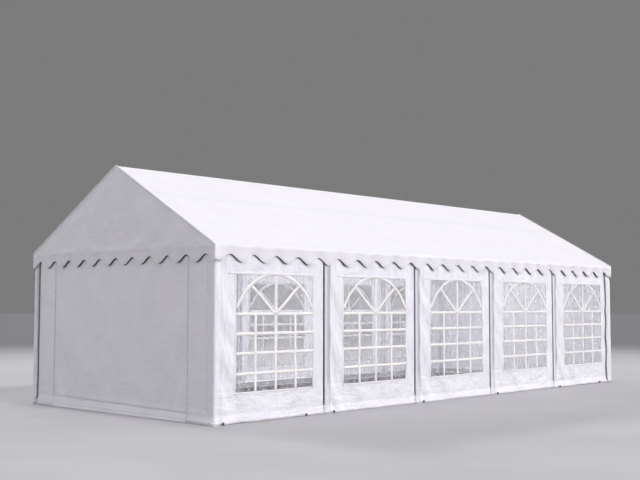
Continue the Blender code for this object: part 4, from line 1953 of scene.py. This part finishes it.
    def slider(self, x: float, z: float) -> BMesh:
        """A zip's slider with its hanging pull tab."""
        out = -self.turn.value
        bm = bmesh.new()
        block(bm, (0.016, 0.006, 0.024))
        tab = block(bm, (0.010, 0.0022, 0.042))
        bmesh.ops.rotate(bm, verts=tab, matrix=Matrix.Rotation(0.12 * out, 3, "X"))
        bmesh.ops.translate(bm, vec=(0, 0.006 * out, -0.028), verts=tab)
        edges = list(bm.edges)
        bmesh.ops.bevel(bm, geom=edges, offset=0.0009, segments=2, profile=0.5, affect="EDGES", material=-1)
        bmesh.ops.translate(bm, vec=self.point(x, z, 0.004), verts=bm.verts)
        return bm

    def build(self) -> None:
        """Makes the end wall's pieces."""
        self.wall()
        self.edge_tape()
        self.door()


def ball(radius: float, columns: int = 14, rows: int = 9) -> BMesh:
    """A ball round the origin, with its faces in the same order on each run.

    Args:
        radius: Its radius.
        columns: Number of faces round it.
        rows: Number of faces from its foot to its top.

    Returns:
        The mesh.
    """

    def place(u: Array, v: Array) -> Array:
        return radius * np.stack([np.cos(v) * np.sin(u), np.cos(v) * np.cos(u), np.sin(v)], axis=1)

    bm = FlatCut((0.0, -math.pi / 2), (2 * math.pi, math.pi / 2), (columns, rows)).laid(place)
    bmesh.ops.remove_doubles(bm, verts=bm.verts, dist=1e-6)
    bmesh.ops.recalc_face_normals(bm, faces=bm.faces)
    return bm


def wing_screw(at: Vector, axis: Vector) -> BMesh:
    """A wing screw that clamps a tube in its fitting, standing out along an axis."""
    bm = bmesh.new()
    stud(bm, 12, (0.009, 0.007), 0.010, 0.004)
    stud(bm, 10, (0.004, 0.004), 0.014, 0.014)
    for side in (-1, 1):
        wing = stud(bm, 8, (0.010, 0.008), 0.003)
        bmesh.ops.rotate(bm, verts=wing, matrix=Matrix.Rotation(math.pi / 2, 3, "X"))
        bmesh.ops.translate(bm, vec=(side * 0.012, 0, 0.020), verts=wing)
    turned = axis.to_track_quat("Z", "Y").to_matrix().to_4x4()
    bmesh.ops.transform(bm, matrix=Matrix.Translation(at) @ turned, verts=bm.verts)
    return bm


@dataclass(frozen=True)
class SteelFrame(Part):
    """The tubes of the frame, which keep their shape, and the small fastenings on them.

    Attributes:
        sleeve: Length of a fitting.
        fitting: Radius of a fitting.
        peg: Radius of a ground peg.
        peg_out: From a leg's middle to its foot's pegs, both ways.
        knob: Radius of the knob on a hem's peg.
        hem_out: From the wall's outer face to that knob.
        hem_start: From a leg to the peg at the panel's start.
        hem_end: From the next leg back to the second peg of the first and the last bay.
    """

    sleeve: float = 0.12
    fitting: float = 0.025
    peg: float = 0.007
    peg_out: float = 0.042
    knob: float = 0.016
    hem_out: float = 0.024
    hem_start: float = 0.09
    hem_end: float = 0.45

    def dress_tubes(self) -> None:
        """Gives every tube its zinc."""
        for node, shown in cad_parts.items():
            if node.startswith(("leg_", "roof_truss_", "ridge_bar_", "eave_rail_", "base_rail_")):
                for slot in shown.material_slots:
                    slot.material = self.palette.zinc

    def screws(self, turn: Turn) -> list[BMesh]:
        """The wing screws of one side's eave fittings, on their inner faces."""
        s = self.sizes
        low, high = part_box("leg_right_1")
        x, parts = turn.value * (s.post_x - self.fitting), []
        for index in range(s.bays + 1):
            y = s.leg_y(index)
            beside = y + (0.075 if index < s.bays else -0.075)
            places = [(x, y, high.z + 0.05), (x, beside, high.z + self.sleeve), (x, y, low.z - 0.03)]
            parts += [wing_screw(Vector(at), Vector((-turn.value, 0, 0))) for at in places]
        return parts

    def pegs(self, turn: Turn) -> list[BMesh]:
        """The pegs that hold one side's feet down, two to a foot, with their mushroomed heads."""
        s, parts = self.sizes, []
        for index in range(s.bays + 1):
            for along in (-self.peg_out, self.peg_out):
                bm = bmesh.new()
                stud(bm, 12, (self.peg, self.peg), 0.024)
                stud(bm, 12, (2 * self.peg, 1.6 * self.peg), 0.007, 0.014)
                at = (turn.value * (s.post_x - self.peg_out), s.leg_y(index) + along, 0.019)
                bmesh.ops.translate(bm, vec=at, verts=bm.verts)
                parts.append(bm)
        return parts

    def hem_pegs(self, turn: Turn) -> list[BMesh]:
        """The dark knobs of the pegs in one side's hems, one to a bay and one more at the ends."""
        s, parts = self.sizes, []
        places = [s.leg_y(bay) + self.hem_start for bay in range(s.bays)]
        places.insert(1, s.leg_y(1) - self.hem_end)
        places.append(s.leg_y(s.bays) - self.hem_end)
        out = s.wall_x + self.hem_out + self.knob
        for along in places:
            bm = ball(self.knob)
            stud(bm, 10, (self.peg, self.peg), 2 * self.knob, -self.knob / 2)
            at = (turn.value * out, turn.value * along, 1.6 * self.knob)
            bmesh.ops.translate(bm, vec=at, verts=bm.verts)
            parts.append(bm)
        return parts

    def build(self) -> None:
        """Dresses the tubes and makes the fastenings of both sides."""
        self.dress_tubes()
        zinc, dark = self.palette.zinc, self.palette.dark_steel
        kinds = {
            "wing_screws": (zinc, self.screws),
            "ground_pegs": (dark, self.pegs),
            "hem_pegs": (dark, self.hem_pegs),
        }
        for name, (material, made) in kinds.items():
            for turn in Turn:
                Dressing(Slot.ZINC, material).piece(f"{name}_{turn.side}", joined(made(turn)))


@dataclass(frozen=True)
class Studio:
    """The floor, the light and the camera.

    Attributes:
        floor_colour: Colour of the floor.
        floor_reach: How far out the floor stays pale before it falls back to the backdrop's tone.
        far_floor: Tone of the floor far out.
        shaded_floor: Tone of the painted shade on the floor inside the tent.
        floor_bounce: How much of the light the floor throws back onto the tent.
        backdrop: Brightness of the plain backdrop.
        zenith: Brightness of the soft light from straight above.
        horizon: Brightness of the soft light from the sides.
        inside: Power of the soft light inside the tent, for what its cloth lets through.
        tint: Colour of all the light on the tent.
        bank_strength: Brightness of the long light bank beyond the right side.
        bank_azimuth: Direction of the bank's middle, in degrees round from +X.
        key_strength: Strength of the key light.
        key_azimuth: Direction that the key light comes from, in degrees round from +X.
        key_elevation: Its height above the horizon, in degrees.
        key_angle: How wide it is seen, in degrees.
        fill_strength: Strength of the weaker light that faces it.
        lens: Focal length of the camera, in millimetres.
        camera_at: Place of the camera.
        yaw: Turn of the view to the left of +Y, in radians.
        pitch: Upward tilt of the view, in radians.
        roll: Roll of the view, in radians.
        shift: Upward shift of the picture.
    """

    floor_colour: Triple = (0.55, 0.55, 0.55)
    floor_reach: float = 9.5
    far_floor: float = 0.18
    shaded_floor: float = 0.035
    floor_bounce: float = 0.24
    backdrop: float = 0.20
    zenith: float = 0.55
    horizon: float = 0.86
    inside: float = 128.0
    tint: Triple = (1.0, 0.985, 1.04)
    bank_strength: float = 8.0
    bank_azimuth: float = 52.0
    key_strength: float = 1.15
    key_azimuth: float = 3.0
    key_elevation: float = 35.0
    key_angle: float = 7.0
    fill_strength: float = 0.8
    lens: float = 57.02
    camera_at: Triple = (11.3525, -13.1014, 1.4588)
    yaw: float = 0.7536
    pitch: float = 0.0661
    roll: float = 0.0011
    shift: float = -0.0033

    def tinted(self, level: float) -> Triple:
        """The light's colour at a level."""
        return tuple(level * part for part in self.tint)

    def floor_tone(self, desk: Desk, sizes: TentSizes) -> Socket:
        """The floor's colour: pale near the tent, darker far out, with painted shade inside the tent."""
        place = desk.place()
        tone = desk.between(desk.noise(place, 0.6, 4.0), 0.3, 0.7)
        shade = tuple(0.94 * value for value in self.floor_colour)
        pale = desk.mixed(tone, self.floor_colour, shade)
        out = desk.put("VectorMath", {0: place}, operation="LENGTH").outputs["Value"]
        far = desk.between(out, self.floor_reach, 2.6 * self.floor_reach)
        shown = desk.mixed(far, pale, (self.far_floor,) * 3)
        # painted shade on the floor inside the tent
        inward = []
        for part, reach in zip(desk.parts(place), (sizes.wall_x, sizes.wall_y)):
            inward.append(desk.between(desk.sum_up("ABSOLUTE", part), reach - 0.08, reach - 0.03, 1.0, 0.0))
        shown = desk.mixed(desk.product(*inward), shown, (self.shaded_floor,) * 3)
        seen = desk.put("LightPath").outputs["Is Camera Ray"]
        return desk.mixed(seen, (self.floor_bounce,) * 3, shown)

    def floor(self, sizes: TentSizes) -> None:
        """A wide plain floor, with painted shade inside the tent."""
        bm = bmesh.new()
        bmesh.ops.create_circle(bm, cap_ends=True, segments=96, radius=160)
        bmesh.ops.translate(bm, vec=(0, 0, -0.0005), verts=bm.verts)
        floor = in_scene("floor", mesh_of("floor", bm))
        material, desk, shader = new_material("floor")
        colour = self.floor_tone(desk, sizes)
        desk.fill(shader, {"Base Color": colour, "Roughness": 0.9, "Specular IOR Level": 0.2})
        floor.data.materials.append(material)

    def sun(self, name: str, strength: float, azimuth: float) -> None:
        """A distant soft light from an azimuth, in degrees round from +X."""
        lamp = bpy.data.lights.new(name, "SUN")
        lamp.energy = strength
        lamp.color = self.tint
        lamp.angle = math.radians(self.key_angle)
        turn = Matrix.Rotation(math.radians(azimuth), 3, "Z")
        elevation = math.radians(self.key_elevation)
        away = turn @ Vector((math.cos(elevation), 0.0, math.sin(elevation)))
        in_scene(name, lamp).rotation_euler = away.to_track_quat("Z", "Y").to_euler()

    def bank(self, desk: Desk, direction: Socket) -> Socket:
        """Where the long light bank lies in the sky, above the horizon beyond the right side."""
        azimuth = math.radians(self.bank_azimuth)
        near = desk.dot(direction, (math.cos(azimuth), math.sin(azimuth), 0.0))
        height = desk.parts(direction)[2]
        above = desk.between(height, 0.03, 0.07)
        below = desk.between(height, 0.16, 0.24, 1.0, 0.0)
        return desk.product(desk.between(near, 0.92, 0.96), above, below)

    def light(self) -> None:
        """A soft key light, a weaker one that faces it, and even light from all round."""
        self.sun("key", self.key_strength, self.key_azimuth)
        self.sun("fill", self.fill_strength, 180.0 - self.key_azimuth)
        world = bpy.data.worlds.new("studio")
        world.use_nodes = True
        desk = Desk(world.node_tree)
        seen = desk.put("LightPath").outputs["Is Camera Ray"]
        direction = desk.put("TexCoord").outputs["Generated"]
        up = desk.between(desk.parts(direction)[2], 0.0, 1.0)
        sky = desk.mixed(up, self.tinted(self.horizon), self.tinted(self.zenith))
        lit = desk.mixed(self.bank(desk, direction), sky, self.tinted(self.bank_strength))
        tone = desk.mixed(seen, lit, (self.backdrop,) * 3)
        desk.fill(world.node_tree.nodes["Background"], {"Color": tone})
        bpy.context.scene.world = world
        bpy.context.scene.view_settings.view_transform = "Standard"

    def light_inside(self, sizes: TentSizes) -> None:
        """A wide soft light under the ridge, out of sight."""
        lamp = bpy.data.lights.new("inside", "AREA")
        lamp.shape = "RECTANGLE"
        lamp.size, lamp.size_y = 1.6, 1.7 * sizes.post_y
        lamp.energy = self.inside
        lamp.color = self.tint
        glow = in_scene("inside", lamp)
        glow.location = (0, 0, sizes.ridge_z - 0.5)
        glow.visible_camera = False

    def camera(self) -> None:
        """The camera at the photograph's viewpoint."""
        data = bpy.data.cameras.new("camera")
        data.lens = self.lens
        data.shift_y = self.shift
        data.clip_end = 500
        camera = in_scene("camera", data)
        tilt = Matrix.Rotation(math.pi / 2 + self.pitch, 4, "X")
        turned = Matrix.Rotation(self.yaw, 4, "Z") @ tilt @ Matrix.Rotation(self.roll, 4, "Z")
        camera.matrix_world = Matrix.Translation(self.camera_at) @ turned
        bpy.context.scene.camera = camera

    def build(self, sizes: TentSizes) -> None:
        """Sets up the studio."""
        self.floor(sizes)
        self.light()
        self.light_inside(sizes)
        self.camera()


def settled_reliefs(sizes: TentSizes) -> dict[str, Relief]:
    """The wrinkles of the gables, the door panels and the bays of the side walls."""
    cloths = {"gable": Gable.settling(sizes), "door": EndWall.settling()}
    for bay in range(sizes.bays):
        cloths[f"bay {bay}"] = SidePanel.settling(sizes, bay)
    return settle(cloths)


def main() -> None:
    """Builds the tent's looks in order."""
    logging.basicConfig(level=logging.INFO, format="%(message)s")
    sizes = TentSizes.of_frame()
    palette = tent_palette(sizes)
    Studio().build(sizes)
    reliefs = settled_reliefs(sizes)
    RoofCover(sizes, palette).build()
    for turn in Turn:
        Gable(sizes, palette, turn, reliefs["gable"]).build()
        EndWall(sizes, palette, turn, reliefs["door"]).build()
        for bay in range(sizes.bays):
            pattern = bay if turn is Turn.NONE else (bay + 2) % sizes.bays
            SidePanel(sizes, palette, turn, bay, reliefs[f"bay {pattern}"]).build()
    SteelFrame(sizes, palette).build()


if __name__ == "__main__":
    main()
